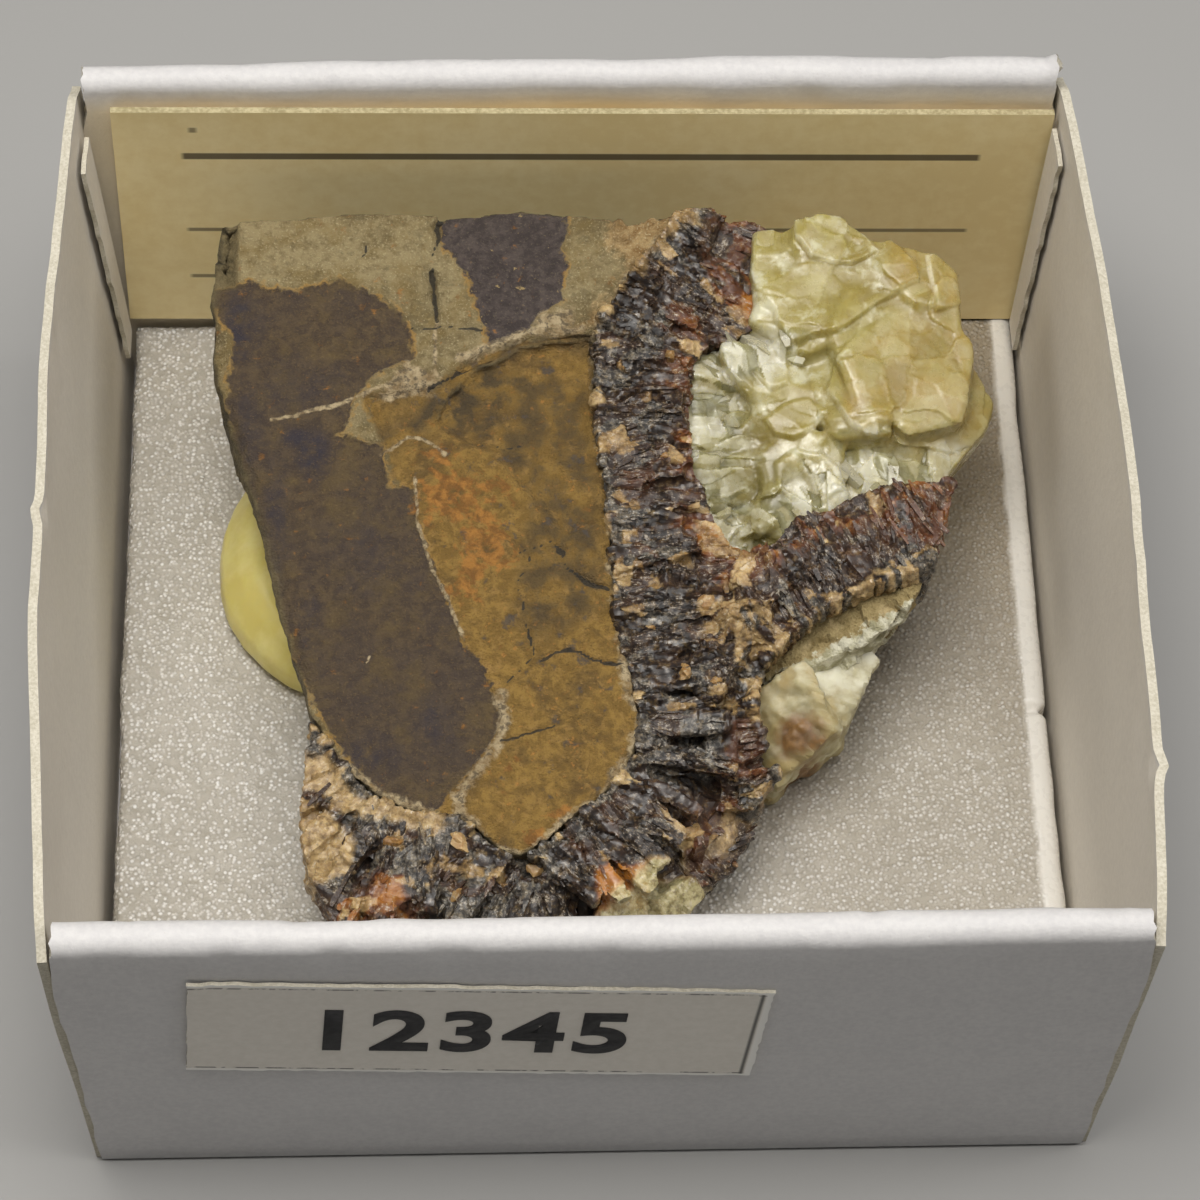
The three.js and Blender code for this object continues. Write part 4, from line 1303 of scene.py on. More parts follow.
def buildMudstone():
    piece = grownCopy("mudstone", "mudstonePiece", mudstone)
    closerDetail(piece, -0.9)
    normals = normalsOf(piece)
    points, onFace = rockSides(pointsOf(piece), normals, -1.2)
    flat = toFace(points)
    u, v = flat[:, 0], flat[:, 1]
    wobble = roughNoise(flat, 0.9, 51, 3)
    uW, vW = u + 0.16 * wobble, v + 0.16 * roughNoise(flat, 0.9, 52, 3)
    relief = 0.12 * roughNoise(points, 3.0, 61, 3) + 0.1 * roughNoise(points, 0.8, 62, 4)
    darkDepth = patchDepth(uW, vW, mudstone["darkLobe"])
    slateDepth = patchDepth(uW, vW, mudstone["slatePatch"])
    relief -= 0.13 * ramp(darkDepth, -0.05, 0.1) + 0.1 * ramp(slateDepth, -0.05, 0.1)
    crustDepth = patchDepth(uW, vW, mudstone["crustArea"])
    _, lumpNumber, lumpEdge = cells(points, 0.75, 71)
    relief += ramp(crustDepth, -0.2, 0.3) * (0.3 * ramp(lumpEdge, 0, 0.3) * lumpNumber)
    # the ochre lies a little below the olive plate, with painted shade beside its edge
    ochreDepth = patchDepth(uW, vW, mudstone["ochreArea"])
    relief -= 0.3 * ramp(ochreDepth, 0, 0.2) * ramp(v, 5, 6.5) * (1 - ramp(ochreDepth, 1.5, 5))
    edgeShade = np.exp(-lineDistance(uW, vW, mudstone["plateEdge"])[0] / 0.7)
    veins = np.zeros(len(u))
    for line, width in mudstone["creamVeins"]:
        far = lineDistance(uW, vW, line)[0]
        veins = np.maximum(veins, 0.5 + (width - far) / (4 * width))
        raised = 0.5 * width * (1 - ramp(far, 0.3 * width, 1.6 * width))
        relief += raised * (0.5 + 0.5 * noise(points, 0.35, 81))
    for outline in mudstone["creamPatches"]:
        veins = np.maximum(veins, 0.5 + patchDepth(uW, vW, outline))
    crackMask = np.zeros(len(u))
    for line, width, deep in mudstone["cracks"]:
        far = lineDistance(uW + 0.5 * (uW - u), vW + 0.5 * (vW - v), line)[0]
        open_ = width * np.clip(0.75 + 1.1 * noise(flat, 0.8, 83), 0.2, 1.3)
        crackMask = np.maximum(crackMask, 1 - ramp(far, 0.5 * open_, 1.5 * open_))
        relief -= deep * (open_ / width) * (1 - ramp(far, 0.4 * open_, 2.2 * open_))
    contactFar = lineDistance(uW, vW, mudstoneContact)[0]
    _, fringeNumber, fringeEdge = cells(points, 0.35, 72)
    relief += (1 - ramp(contactFar, 0.15, 0.5)) * 0.16 * ramp(fringeEdge, 0, 0.12) * fringeNumber
    veins = np.maximum(veins, 0.5 + (0.16 + 0.3 * noise(flat, 1.0, 91) - contactFar))
    chip = ramp(-14.8 - uW, 0, 0.3) * ramp(vW, 13.0, 13.5)
    relief -= chip * (0.35 + 0.6 * np.clip(-14.8 - u, 0, 1.5))
    movePoints(piece, points + normals * (relief * onFace)[:, None])
    smokyDepth = patchDepth(uW, vW, mudstone["smokyStainAndStepShade"])
    paintAll(piece, {
        "darkLobe": asField(darkDepth),
        "slatePatch": asField(slateDepth),
        "ochreArea": asField(patchDepth(u, v, mudstone["ochreArea"])),
        # the smoky stain, and painted shade beside the plate's edge
        "smokyStainAndStepShade": 0.8 * ramp(smokyDepth, -0.3, 0.8) + edgeShade,
        "crustArea": asField(crustDepth),
        "creamVein": veins,
        "crack": crackMask,
        "rust": spots(flat, mudstone["rustSpots"]),
        "blueTintAndEdgeShade": spots(flat, mudstone["blueAndEdgeShadeSpots"]),
        "rockSide": np.maximum(1 - onFace, 0.8 * chip),
    })
    smoothShade(piece)
    finish(piece, mudstoneMaterial(), "mudstone", "mudstone")
    print("mudstone triangles:", trianglesOf(piece))


buildMudstone()
print("stage: mudstone")


# Crystals: one small shape, copied into one mesh

def bladeShape():
    # a flat splinter, its foot at x = 0 and its chisel tip at x = 1
    bpy.ops.object.select_all(action="DESELECT")
    bpy.ops.mesh.primitive_cube_add(size=1)
    piece = bpy.context.object
    for vertex in piece.data.vertices:
        vertex.co.x = 0.0 if vertex.co.x < 0 else 0.72
    selectWhere(piece, "FACE", lambda face: face.normal.x > 0.9)
    bpy.ops.mesh.extrude_region_move(TRANSFORM_OT_translate={"value": (0.28, 0.06, 0.04)})
    bpy.ops.transform.resize(value=(1, 0.5, 0.16), center_override=(1, 0.06, 0.04))
    bpy.ops.object.mode_set(mode="OBJECT")
    selectWhere(piece, "FACE", lambda face: face.normal.x < -0.9)
    bpy.ops.transform.resize(value=(1, 0.7, 0.7), center_override=(0, 0, 0))
    bpy.ops.object.mode_set(mode="OBJECT")
    return piece


def nubShape():
    bpy.ops.object.select_all(action="DESELECT")
    bpy.ops.mesh.primitive_ico_sphere_add(subdivisions=2, radius=0.5)
    piece = bpy.context.object
    shape = cornersOf(piece)
    shape *= (1 + 0.5 * noise(shape, 0.3, 3))[:, None]
    for vertex, place in zip(piece.data.vertices, shape):
        vertex.co = place
    return piece


def copied(piece, values):
    # one value for each copy in a mesh of copies
    return np.repeat(values, len(piece.data.vertices) // len(values))


def manyOf(shape, name, places, axes):
    # one mesh of copies: axes holds each copy's own x, y and z, sized in mm
    corners = cornersOf(shape)
    faces = [list(face.vertices) for face in shape.data.polygons]
    placed = np.einsum("vk,nkd->nvd", corners, axes) + places[:, None, :]
    count = len(corners)
    allFaces = [[i + copy * count for i in face] for copy in range(len(places)) for face in faces]
    piece = meshPiece(name, placed.reshape(-1, 3), allFaces)
    bpy.data.objects.remove(shape, do_unlink=True)
    return piece


def unit(vectors):
    return vectors / np.maximum(np.linalg.norm(vectors, axis=1, keepdims=True), 1e-9)


def plantBlades(name, start, along, wideWay, sizes, chosen):
    # splinters in the stone's own frame, each with its own length, width and thickness
    ways = (along, wideWay, np.cross(along, wideWay))
    axes = [turnedToWorld((way * size[:, None])[chosen]) for way, size in zip(ways, sizes)]
    return manyOf(bladeShape(), name, fromFace(start[chosen]), np.stack(axes, axis=1))


def groundUnder(ground, flat):
    # where a line into the face meets the ground, in the stone's own frame; nan where it misses
    starts = fromFace(np.column_stack([flat, np.full(len(flat), 6.0)]))
    down = -turnedToWorld(np.array([[0, 0, 1.0]]))[0]
    heights = np.full(len(flat), np.nan)
    for i, start in enumerate(starts):
        hit = ground.ray_cast(Vector(start * mm), Vector(down), 40 * mm)
        if hit[0] is not None:
            heights[i] = toFace(np.array([hit[0]]) / mm)[0, 2]
    return heights


# The brown calcite: fused crystals that stand across the vein, and loose splinters on them

brown = {
    "grown": 0.2,
    "voxel": 0.11,
    "triangles": 184000,
    "deep": -2.3,
    "blades": 1400,
    "length": (0.35, 1.5),
    "width": (0.08, 0.26),
    "areas": [  # outline, tint, how much it varies, share of the area it covers
        ([(5.3, 14.9), (5.6, 17), (8.6, 17), (8.5, 13.8), (7.3, 12.6), (6, 12.9)], 0.36, 0.14, 0.8),
        ([(5.2, 10.4), (5.2, 12.2), (7.2, 12.6), (7.4, 10.8)], 0.7, 0.08, 0.42),
        ([(7.1, 11.4), (7, 13), (8.6, 13.2), (8.6, 11.3)], 0.6, 0.05, 0.8),
        ([(3.9, -12), (6.6, -11.6), (6.2, -13.6), (4, -13.4)], 0.42, 0.06, 0.9),
        ([(6, -6.8), (7.4, -6.8), (7.6, -9.4), (5.8, -9.2)], 0.4, 0.08, 0.9),
        ([(0.1, -13.4), (2.3, -13.2), (2.3, -14.9), (0.1, -15.2)], 0.63, 0.03, 1.2),
        ([(12.6, 0.8), (12.8, 4), (16.6, 4.4), (15.2, 0.8)], 0.4, 0.12, 0.7),
        ([(2.3, -13.1), (5.8, -13.3), (4, -17), (0, -17), (0.2, -15)], 0.97, 0.03, 1.2),
        ([(-12.4, -10.6), (-11, -10.8), (-9.7, -12.4), (-9.8, -13.7), (-12.4, -14.4)], 0.85, 0.05, 1.1),
        ([(-12.4, -8), (-11.4, -8.4), (-9.4, -10.2), (-6.2, -11.4), (-6.2, -12.1), (-9.4, -11.3),
          (-12.4, -9.7)], 0.83, 0.05, 1.2),
        ([(-9, -13.6), (-7.6, -13.6), (-7.6, -15), (-9, -15)], 0.56, 0.06, 0.9),
        ([(1.4, 12.6), (2.6, 13.6), (4.3, 15.6), (5.4, 15.8), (5, 18), (2, 18)], 0.76, 0.08, 0.9),
        ([(7.2, -4.6), (8.8, -3.2), (11.5, -1.6), (15.6, 0.2), (15.2, 0.8), (11, -1), (8.4, -2.5)],
         0.8, 0.1, 0.38),
        ([(4.6, -1.4), (8.8, -2.2), (8.2, -6.6), (5.2, -6.6)], 0.8, 0.16, 0.42),
        ([(4.6, 3.4), (5.6, 1.8), (6.8, 0.8), (8, 1), (8, -0.6), (5.4, -1)], 0.7, 0.1, 0.32),
        ([(-9.4, -12), (-2, -13.6), (0, -13.4), (-0.6, -18), (-9.4, -17)], 0.72, 0.1, 0.17),
    ],
    "tints": [
        (0.0, (18, 16, 15)), (0.16, (32, 25, 22)), (0.3, (56, 39, 30)), (0.45, (92, 52, 29)),
        (0.63, (168, 108, 40)), (1.0, (200, 142, 70)),
    ],
    "nubs": [  # u, v, size, tint
        (4.3, -11.4, 0.8, 0.8), (4.0, -5.0, 0.8, 0.78), (5.0, -1.8, 0.8, 0.8), (-5.4, -12.5, 1.0, 0.82),
        (-5.6, -14.4, 0.9, 0.8), (-2.4, -13.2, 0.8, 0.8), (5.3, -5.4, 0.6, 0.78), (3.8, 9.9, 0.7, 0.76),
        (8.8, -7.1, 1.4, 0.46), (-8.2, -12.4, 0.8, 0.72), (2.6, -2.9, 0.5, 0.78), (3.4, 5.0, 0.5, 0.74),
    ],
}


def awayFrom(u, v, line):
    # distance to a line, how far along it, and the way from it
    step = 0.02
    far, along = lineDistance(u, v, line)
    du = (lineDistance(u + step, v, line)[0] - far) / step
    dv = (lineDistance(u, v + step, line)[0] - far) / step
    return far, along, du, dv


def veinAt(u, v):
    # where in the vein a point is: how far across (0 at the mudstone), its place along and out from
    # the edge that its crystals grew from, and the way they point
    fromMud, alongMud, duM, dvM = awayFrom(u, v, mudstoneContact)
    fromFar, alongFar, duF, dvF = awayFrom(u, v, farContact)
    fromYellow = lineDistance(u, v, yellowContact)[0]
    slanted = (fromMud - fromFar > 1.2) & (u > 6.2)
    across = np.where(v > -8, fromMud / (fromMud + fromYellow + 1e-6), np.clip(fromMud / 5.5, 0, 0.8))
    across = np.where(slanted, fromFar / (fromFar + fromYellow + 1e-6), across)
    du, dv = np.where(slanted, duF, duM), np.where(slanted, dvF, dvM)
    long = np.maximum(np.hypot(du, dv), 1e-6)
    along = np.where(slanted, alongFar + 45, alongMud)
    out = np.where(slanted, fromFar, fromMud)
    return {"across": across, "along": along, "out": out, "du": du / long, "dv": dv / long}


def veinColours(u, v, at, random):
    # tint: 0 black, 0.25 purple-brown, 0.5 red-brown, 0.7 orange; gold: share of tan mineral and pale:
    # how light that is; sparkle: share of grey sugary grains; glass: smooth crystal faces
    flat = np.stack([u, v, np.zeros(len(u))], axis=1)
    bent = at["along"] + 0.5 * noise(flat, 1.7, 11)
    place = np.stack([bent, at["out"] * 0.55 + 0.3 * noise(flat, 1.3, 12), np.zeros(len(u))], axis=1)
    streaks = roughNoise(np.stack([bent, at["out"] * 0.3, flat[:, 2]], axis=1), 0.6, 13, 4)
    patches = roughNoise(flat, 1.9, 14, 3)
    _, chunk, _ = cells(place, 0.95, 15)
    _, bit, _ = cells(place * (1, 0.8, 1), 0.42, 16)
    kind = np.where(bit > 0.66, np.modf(bit * 37.7)[0], chunk)
    across = at["across"] + 0.2 * patches
    rimward = 1 - ramp(across, 0.12, 0.34)
    inner = ramp(across, 0.5, 0.85)
    tint = 0.03 + 0.26 * chunk + 0.06 * random + 0.16 * streaks + inner * (0.12 + 0.13 * bit)
    gold = 1.0 * (kind > 0.955 - 0.1 * rimward - 0.08 * inner)
    sparkle = (kind < 0.14 + 0.2 * rimward) * (1 - inner)
    glass = ((chunk > 0.3) & (chunk < 0.62)) * 1.0
    pale = 0.12 + 0.5 * np.modf(bit * 91.3)[0] + 0.25 * inner
    edge = ramp(0.06 + 0.8 * streaks + 0.5 * patches + 0.25 * (bit - 0.5) - at["out"], -0.08, 0.08)
    greyish = ramp(patches + 0.8 * (chunk - 0.5), -0.04, 0.04)
    gold = np.maximum(gold, edge * (1 - greyish))
    sparkle = np.maximum(sparkle, edge * greyish)
    pale += (0.4 + 0.3 * bit - pale) * edge
    for outline, value, width, share in brown["areas"]:
        inside = ramp(patchDepth(u + 0.4 * patches, v + 0.4 * streaks, outline), -0.15, 0.25)
        some = inside * ramp(streaks + 0.9 * (bit - 0.5), 0.9 - 2 * share, 1.0 - 2 * share)
        if value > 0.65:
            gold = np.maximum(gold, some)
            pale += ((value - 0.65) / 0.35 + width * (2 * bit - 1) - pale) * some
        else:
            gold, sparkle = gold * (1 - some), sparkle * (1 - some)
            tint += (value + width * (2 * bit - 1) - tint) * some
    return [np.clip(values, 0, 1) for values in (tint, gold, pale, sparkle, glass)]


def paintVein(piece, shares, at=None):
    paintAll(piece, dict(zip(("tint", "gold", "pale", "sparkle", "glass"), shares)))
    if at is None:
        flat = toFace(pointsOf(piece))
        at = veinAt(flat[:, 0], flat[:, 1])
    paint(piece, "fibreAlong", at["along"] / 100)
    paint(piece, "fibreOut", at["out"] / 20)


def tintColour(tree, tint):
    colours = put(tree, "ValToRGB", {"Fac": tint})
    bar = colours.color_ramp
    for position, colour in brown["tints"][1:-1]:
        bar.elements.new(position).color = rgb(*colour)
    for end in (0, -1):
        position, colour = brown["tints"][end]
        bar.elements[end].position, bar.elements[end].color = position, rgb(*colour)
    return colours.outputs["Color"]


def brownMaterial():
    material, tree, shader = newMaterial(
        "brownCalcite", Roughness=0.28, IOR=1.5, Subsurface_Weight=0.3, Subsurface_Scale=0.35 * mm
    )
    shader.inputs["Subsurface Radius"].default_value = (1.0, 0.75, 0.5)
    along = times(tree, mask(tree, "fibreAlong"), 100 / 0.075)
    out = times(tree, mask(tree, "fibreOut"), 20 / 0.42)
    place = put(tree, "CombineXYZ", {"X": along, "Y": out}).outputs["Vector"]
    streaks = {"Vector": place, "Scale": 1.0, "Detail": 3.0, "Roughness": 0.6}
    fibres = put(tree, "TexNoise", streaks).outputs["Fac"]
    midMask, mid = grain(tree, 0.3, 0.4)
    _, fine = grain(tree, 0.1)
    shift = times(tree, minus(tree, fibres, 0.5), 0.16)
    shift = plus(tree, shift, times(tree, minus(tree, mid, 0.5), 0.24))
    colour = tintColour(tree, plus(tree, mask(tree, "tint"), shift))
    rough = spread(tree, mask(tree, "glass"), 1.0, 0.0, 0.25, 1.0)
    both = plus(tree, plus(tree, fibres, fine), times(tree, mid, 0.6))
    mixed = plus(tree, fine, mid)
    pale = mask(tree, "pale")
    grey = over(tree, (44, 40, 37), (108, 102, 92), spread(tree, mixed, 0.86, 1.14))
    cream = over(tree, (172, 142, 96), (214, 188, 138), midMask)
    sandy = over(tree, (160, 148, 100), (206, 196, 154), midMask)
    tan = coats(
        tree, (88, 66, 38),
        ((150, 116, 66), spread(tree, mixed, 0.84, 1.12)),
        ((84, 62, 40), mottle(tree, 0.35, 0.54, 0.64, 0.7)),
        (cream, spread(tree, pale, 0.1, 0.7)),
        (sandy, spread(tree, pale, 0.8, 0.9)),
        ((96, 80, 60), mottle(tree, 0.22, 0.54, 0.64, 0.5)),
    )
    colour = coats(
        tree, colour,
        ((104, 88, 72), spread(tree, both, 1.26, 1.44), times(tree, rough, 0.38)),
        (grey, edged(tree, mask(tree, "sparkle"), 0.9, mid, 0.25)),
        (tan, edged(tree, mask(tree, "gold"), 1.3, mid, 0.5), 0.86),
        # painted glints: near-white flecks where the grain peaks, away from the glassy faces
        ((200, 192, 178), spread(tree, both, 1.42, 1.52), times(tree, rough, 0.45)),
    )
    dress(tree, shader, colour, spread(tree, mid, 0.35, 0.65, 0.5, 0.2))
    bump(tree, shader, times(tree, plus(tree, fibres, fine), rough), 0.05, 0.6)
    return material


def sampleIn(rng, count, test, low, high):
    # places spread evenly over an area
    found = np.empty((0, 2))
    while len(found) < count:
        tried = rng.uniform(low, high, (count * 3, 2))
        found = np.vstack([found, tried[test(tried[:, 0], tried[:, 1])]])
    return found[:count]


def inBrown(u, v):
    inside = insideOf(u, v, faceEdge)
    for other in (mudstoneSide, yellowSide, farSide):
        inside &= ~insideOf(u, v, other)
    return inside


def treeOf(piece):
    return BVHTree.FromPolygons(
        [vertex.co[:] for vertex in piece.data.vertices], [face.vertices[:] for face in piece.data.polygons]
    )


def buildBed(material):
    bed = grownCopy("brown_calcite", "brownBed", brown)
    points, normals = pointsOf(bed), normalsOf(bed)
    flat = toFace(points)
    at = veinAt(flat[:, 0], flat[:, 1])
    bent = at["along"] + 0.22 * noise(flat, 1.1, 21)
    fibre = np.stack([bent, at["out"] * 0.33, flat[:, 2] * 0.6], axis=1)
    _, number, edge = cells(fibre, 0.62, 23)
    _, fineNumber, fineEdge = cells(fibre, 0.3, 24)
    relief = 0.24 * (number - 0.5) + 0.12 * (fineNumber - 0.5) + 0.2 * roughNoise(points, 1.3, 22, 4)
    relief -= 0.1 * (1 - ramp(edge, 0, 0.1)) + 0.04 * (1 - ramp(fineEdge, 0, 0.06))
    tint, gold, pale, sparkle, glass = veinColours(flat[:, 0], flat[:, 1], at, fineNumber)
    _, lumpNumber, lumpEdge = cells(points, 0.45, 27)
    lumps = 0.14 * ramp(lumpEdge, 0, 0.2) * (lumpNumber - 0.2) + 0.26 * roughNoise(points, 0.9, 28, 4)
    relief = relief * (1 - 0.5 * gold) + lumps * gold
    relief += 0.05 * sparkle * roughNoise(points, 0.3, 30, 2)
    relief += 0.2 * (1 - ramp(at["out"], 0.1, 0.5)) * ramp(flat[:, 2], -2, -1)
    points += normals * (relief - 0.05)[:, None]
    movePoints(bed, points)
    low = ramp(-flat[:, 2], 2.6, 5)
    patchy = 0.12 + 0.65 * ramp(roughNoise(points, 2.5, 29, 3), -0.1, 0.6)
    tint, gold = tint * (1 - low) + low * 0.5 * patchy, gold * (1 - low) + low * ramp(patchy, 0.4, 0.55)
    paintVein(bed, (tint, gold, pale, sparkle, glass), at)
    fewerFaces(bed, brown["triangles"], brown["deep"])
    smoothShade(bed, 35)
    finish(bed, material, "brown_calcite", "brown_calcite")
    print("brown bed triangles:", trianglesOf(bed))
    return treeOf(bed)


def buildBlades(material, ground, rng):
    places = sampleIn(rng, brown["blades"], inBrown, (-12.5, -18), (16.5, 17))
    u, v = places.T
    height = groundUnder(ground, places)
    at = veinAt(u, v)
    random = rng.uniform(0, 1, len(u))
    angle = rng.normal(0, 0.26, len(u))
    du = at["du"] * np.cos(angle) - at["dv"] * np.sin(angle)
    dv = at["du"] * np.sin(angle) + at["dv"] * np.cos(angle)
    rise = np.abs(rng.normal(0.04, 0.16, len(u)))
    spans = (brown["length"], brown["width"])
    long, wide = [least + (most - least) * rng.power(0.6, len(u)) for least, most in spans]
    thick = wide * rng.uniform(0.5, 1.0, len(u))
    along = np.stack([du * np.cos(rise), dv * np.cos(rise), np.sin(rise)], axis=1)
    up = np.tile([0.0, 0.0, 1.0], (len(u), 1)) + rng.normal(0, 0.4, (len(u), 3))
    wideWay = unit(np.cross(up, along))
    start = np.column_stack([u, v, height]) - along * (long * 0.55)[:, None]
    start[:, 2] += rng.uniform(-0.12, 0.04, len(u)) + 0.3 * thick
    tip = start + along * long[:, None]
    foot = insideOf(start[:, 0], start[:, 1], mudstoneSide) & (at["out"] > 0.25)
    fits = ~np.isnan(height) & (tip[:, 2] < 0.6) & insideOf(tip[:, 0], tip[:, 1], faceEdge) & ~foot
    fits &= ~insideOf(tip[:, 0], tip[:, 1], yellowSide) | (random > 0.8)
    shares = veinColours(u, v, at, random)
    fits &= (shares[1] < 0.4) & (at["out"] > 0.5) & (shares[4] < 0.5)
    fits &= (v < -6) | (u > 8) | (random > 0.7)
    blades = plantBlades("brownBlades", start, along, wideWay, (long, wide, thick), fits)
    paintVein(blades, [copied(blades, values[fits]) for values in shares])
    finish(blades, material, "brown_calcite", "brown_calcite")
    print("blades:", int(fits.sum()))


def buildNubs(material, ground, rng):
    nubs = np.array(brown["nubs"])
    height = groundUnder(ground, nubs[:, :2])
    nubs, height = nubs[~np.isnan(height)], height[~np.isnan(height)]
    size = nubs[:, 2:3]
    longWay = unit(rng.normal(0, 1, (len(nubs), 3)))
    side = unit(np.cross(longWay, rng.normal(0, 1, (len(nubs), 3))))
    axes = np.stack([longWay * size, side * size * 0.8, np.cross(longWay, side) * size * 0.6], axis=1)
    places = fromFace(np.column_stack([nubs[:, :2], height - 0.12]))
    lumps = manyOf(nubShape(), "tanNubs", places, axes)
    kind = copied(lumps, nubs[:, 3])
    paintVein(lumps, (kind, (kind > 0.65) * 1.0, ramp(kind, 0.65, 1.0), 0 * kind, 0 * kind))
    smoothShade(lumps, 20)
    finish(lumps, material, "brown_calcite", "brown_calcite")


brownStone = brownMaterial()
brownGround = buildBed(brownStone)
growing = np.random.default_rng(7)
buildBlades(brownStone, brownGround, growing)
buildNubs(brownStone, brownGround, growing)
print("stage: brown calcite")


# The yellow and the pale calcite

yellow = {
    "grown": 0.3,
    "voxel": 0.13,
    "melted": 30,
    "whiteArea": [(5.6, 9.2), (6.4, 11.2), (8.6, 11.4), (9.4, 9.6), (8, 8.4)],
    "greyArea": [(4.9, 2.6), (4.6, 8.2), (6, 8.8), (7.6, 6.8), (9.4, 4.6), (8, 1.4), (6, 1.2)],
    "honeyArea": [
        (11.5, 6), (11, 9), (13.6, 11.6), (13.8, 15.8), (17.4, 15.4), (18.6, 9.8), (18.6, 5.2), (15.6, 5.8),
    ],
    "shelves": [  # outline, height of the broken edge, the way it slopes down from there and how far
        ([(10.5, 8.5), (11.5, 6.6), (12.4, 6), (14.3, 6.2), (16.1, 6.2), (20, 7), (20, 12.5), (13.9, 11.9),
          (11.7, 10.4)], 0.26, (0.6, 0.8), 6),
        ([(8.2, 13.6), (8.4, 11.3), (9, 10.3), (9.6, 10), (10.4, 10.5), (11.3, 10.8), (12.6, 11.6),
          (13.8, 12.4), (14.8, 13), (14.9, 15.6), (12.4, 14.6), (9.4, 14.1)], 0.34, (-0.1, 1), 5),
        ([(9.4, 15.3), (11.2, 17), (12.5, 15.6), (13.2, 14.7), (12, 14.1), (10.1, 14.3)], 0.3, (0.1, 1), 3),
        ([(15.2, 14.8), (16.8, 15.4), (17.2, 12.6), (15.5, 11.9)], 0.2, (0.9, 0.4), 3),
        ([(7.5, 9.4), (8.3, 9.9), (9.2, 9.7), (9.1, 8.7), (8.2, 8.4)], 0.24, (0.3, 1), 2.2),
        ([(7.8, 7.4), (8.8, 7.9), (9.9, 8.1), (10.6, 7.5), (10.2, 6.9), (9.1, 6.4), (8.2, 6.5)],
         0.26, (0.2, 1), 2.4),
        ([(8.1, 5.5), (9.1, 6.1), (10.2, 5.7), (10.8, 4.9), (11, 3.8), (9.4, 3), (8.2, 3.8)],
         0.26, (-0.7, -0.7), 3),
        ([(11.4, 4.8), (12.4, 5.6), (13.6, 5.4), (14.6, 5.7), (15.6, 5.2), (15, 4.2), (12.4, 4)],
         0.16, (0, -1), 2.4),
    ],
    "shards": 22,
}


def calciteMaterial(name, colours, clear, scatter, rough=(0.36, 0.16)):
    # clear: share of light that passes straight through; scatter: share that glows inside
    material, tree, shader = newMaterial(
        name, Roughness=0.22, IOR=1.5, Transmission_Weight=clear, Subsurface_Weight=scatter,
        Subsurface_Scale=1.4 * mm,
    )
    shader.inputs["Subsurface Radius"].default_value = (1.0, 0.95, 0.6)
    midMask, mid = grain(tree, 0.7, 0.8)
    wideMask, _ = grain(tree, 2.6, 0.5)
    _, fine = grain(tree, 0.2)
    honey, shade = mask(tree, "honey"), mask(tree, "shade")
    # whitish veils: cloudy calcite, partly a painted soft sheen
    milkyVeilAndSheen = times(tree, mottle(tree, 1.4, 0.53, 0.66), spread(tree, honey, 1.0, 0.0, 0.15, 0.7))
    green = over(tree, (104, 102, 72), (156, 154, 120), midMask)
    amber = over(tree, (84, 58, 34), (140, 106, 64), midMask)
    colour = coats(
        tree, colours[0],
        (colours[1], midMask),
        (colours[2], wideMask, 0.5),
        ((184, 154, 88), honey, mottle(tree, 2.2, 0.36, 0.6, 0.6)),
        # painted light and shade: each facet lighter or darker by its own number, as if lit from its own
        # angle
        ((214, 206, 160), spread(tree, shade, 0.55, 1.0), 0.6),
        ((138, 120, 66), spread(tree, shade, 0.45, 0.0), 0.5),
        ((206, 196, 152), mottle(tree, 0.9, 0.5, 0.68, 0.4)),
        ((150, 130, 72), mottle(tree, 1.9, 0.5, 0.36, 0.4)),
        ((228, 226, 198), milkyVeilAndSheen),
        (green, mask(tree, "grey"), 0.75),
        ((216, 212, 188), mask(tree, "white"), plus(tree, midMask, 0.5)),
        (amber, edged(tree, mask(tree, "amber"), 0.9, mid, 0.2)),
        # a painted highlight along broken edges
        ((238, 232, 206), mask(tree, "rim"), times(tree, midMask, 0.7)),
    )
    dress(tree, shader, colour, spread(tree, mid, 0.35, 0.65, *rough))
    bump(tree, shader, plus(tree, fine, times(tree, mid, 2)), 0.02, 0.4)
    return material


def softMask(u, v, outline, seed):
    place = np.stack([u, v, np.zeros(len(u))], axis=1)
    return ramp(patchDepth(u, v, outline) + 0.6 * roughNoise(place, 1.2, seed, 3), -0.35, 0.6)


def paintCalcite(piece, *shares):
    # shares of honey, grey-green, white, amber and the painted highlight on broken edges, and each facet's
    # painted light or shade
    for name, share in zip(("honey", "grey", "white", "amber", "rim", "shade"), shares):
        paint(piece, name, np.clip(share, 0, 1) + np.zeros(len(piece.data.vertices)))


def crackle(points, normals, size, slope, step, seed, pushed):
    # breaks a surface into tilted facets, their edges bent by the pushed places
    centre, number, _ = cells(pushed, size, seed)
    tilt = np.stack([np.modf(number * k)[0] - 0.5 for k in (37.1, 71.7, 113.3)], axis=1)
    facet = np.sum((points - centre) * tilt, axis=1) * slope + (number - 0.5) * step
    return points + normals * facet[:, None]


def facets(points, size, wave, seed):
    # heights of flat facets that follow broad waves, from -1 to 1, and each facet's number
    centre, number, _ = cells(points, size, seed)
    step = 0.1
    level = noise(centre, wave, seed + 1)
    height = level.copy()
    for axis in range(3):
        beside = centre.copy()
        beside[:, axis] += step
        height += (noise(beside, wave, seed + 1) - level) / step * (points[:, axis] - centre[:, axis])
    return height, number


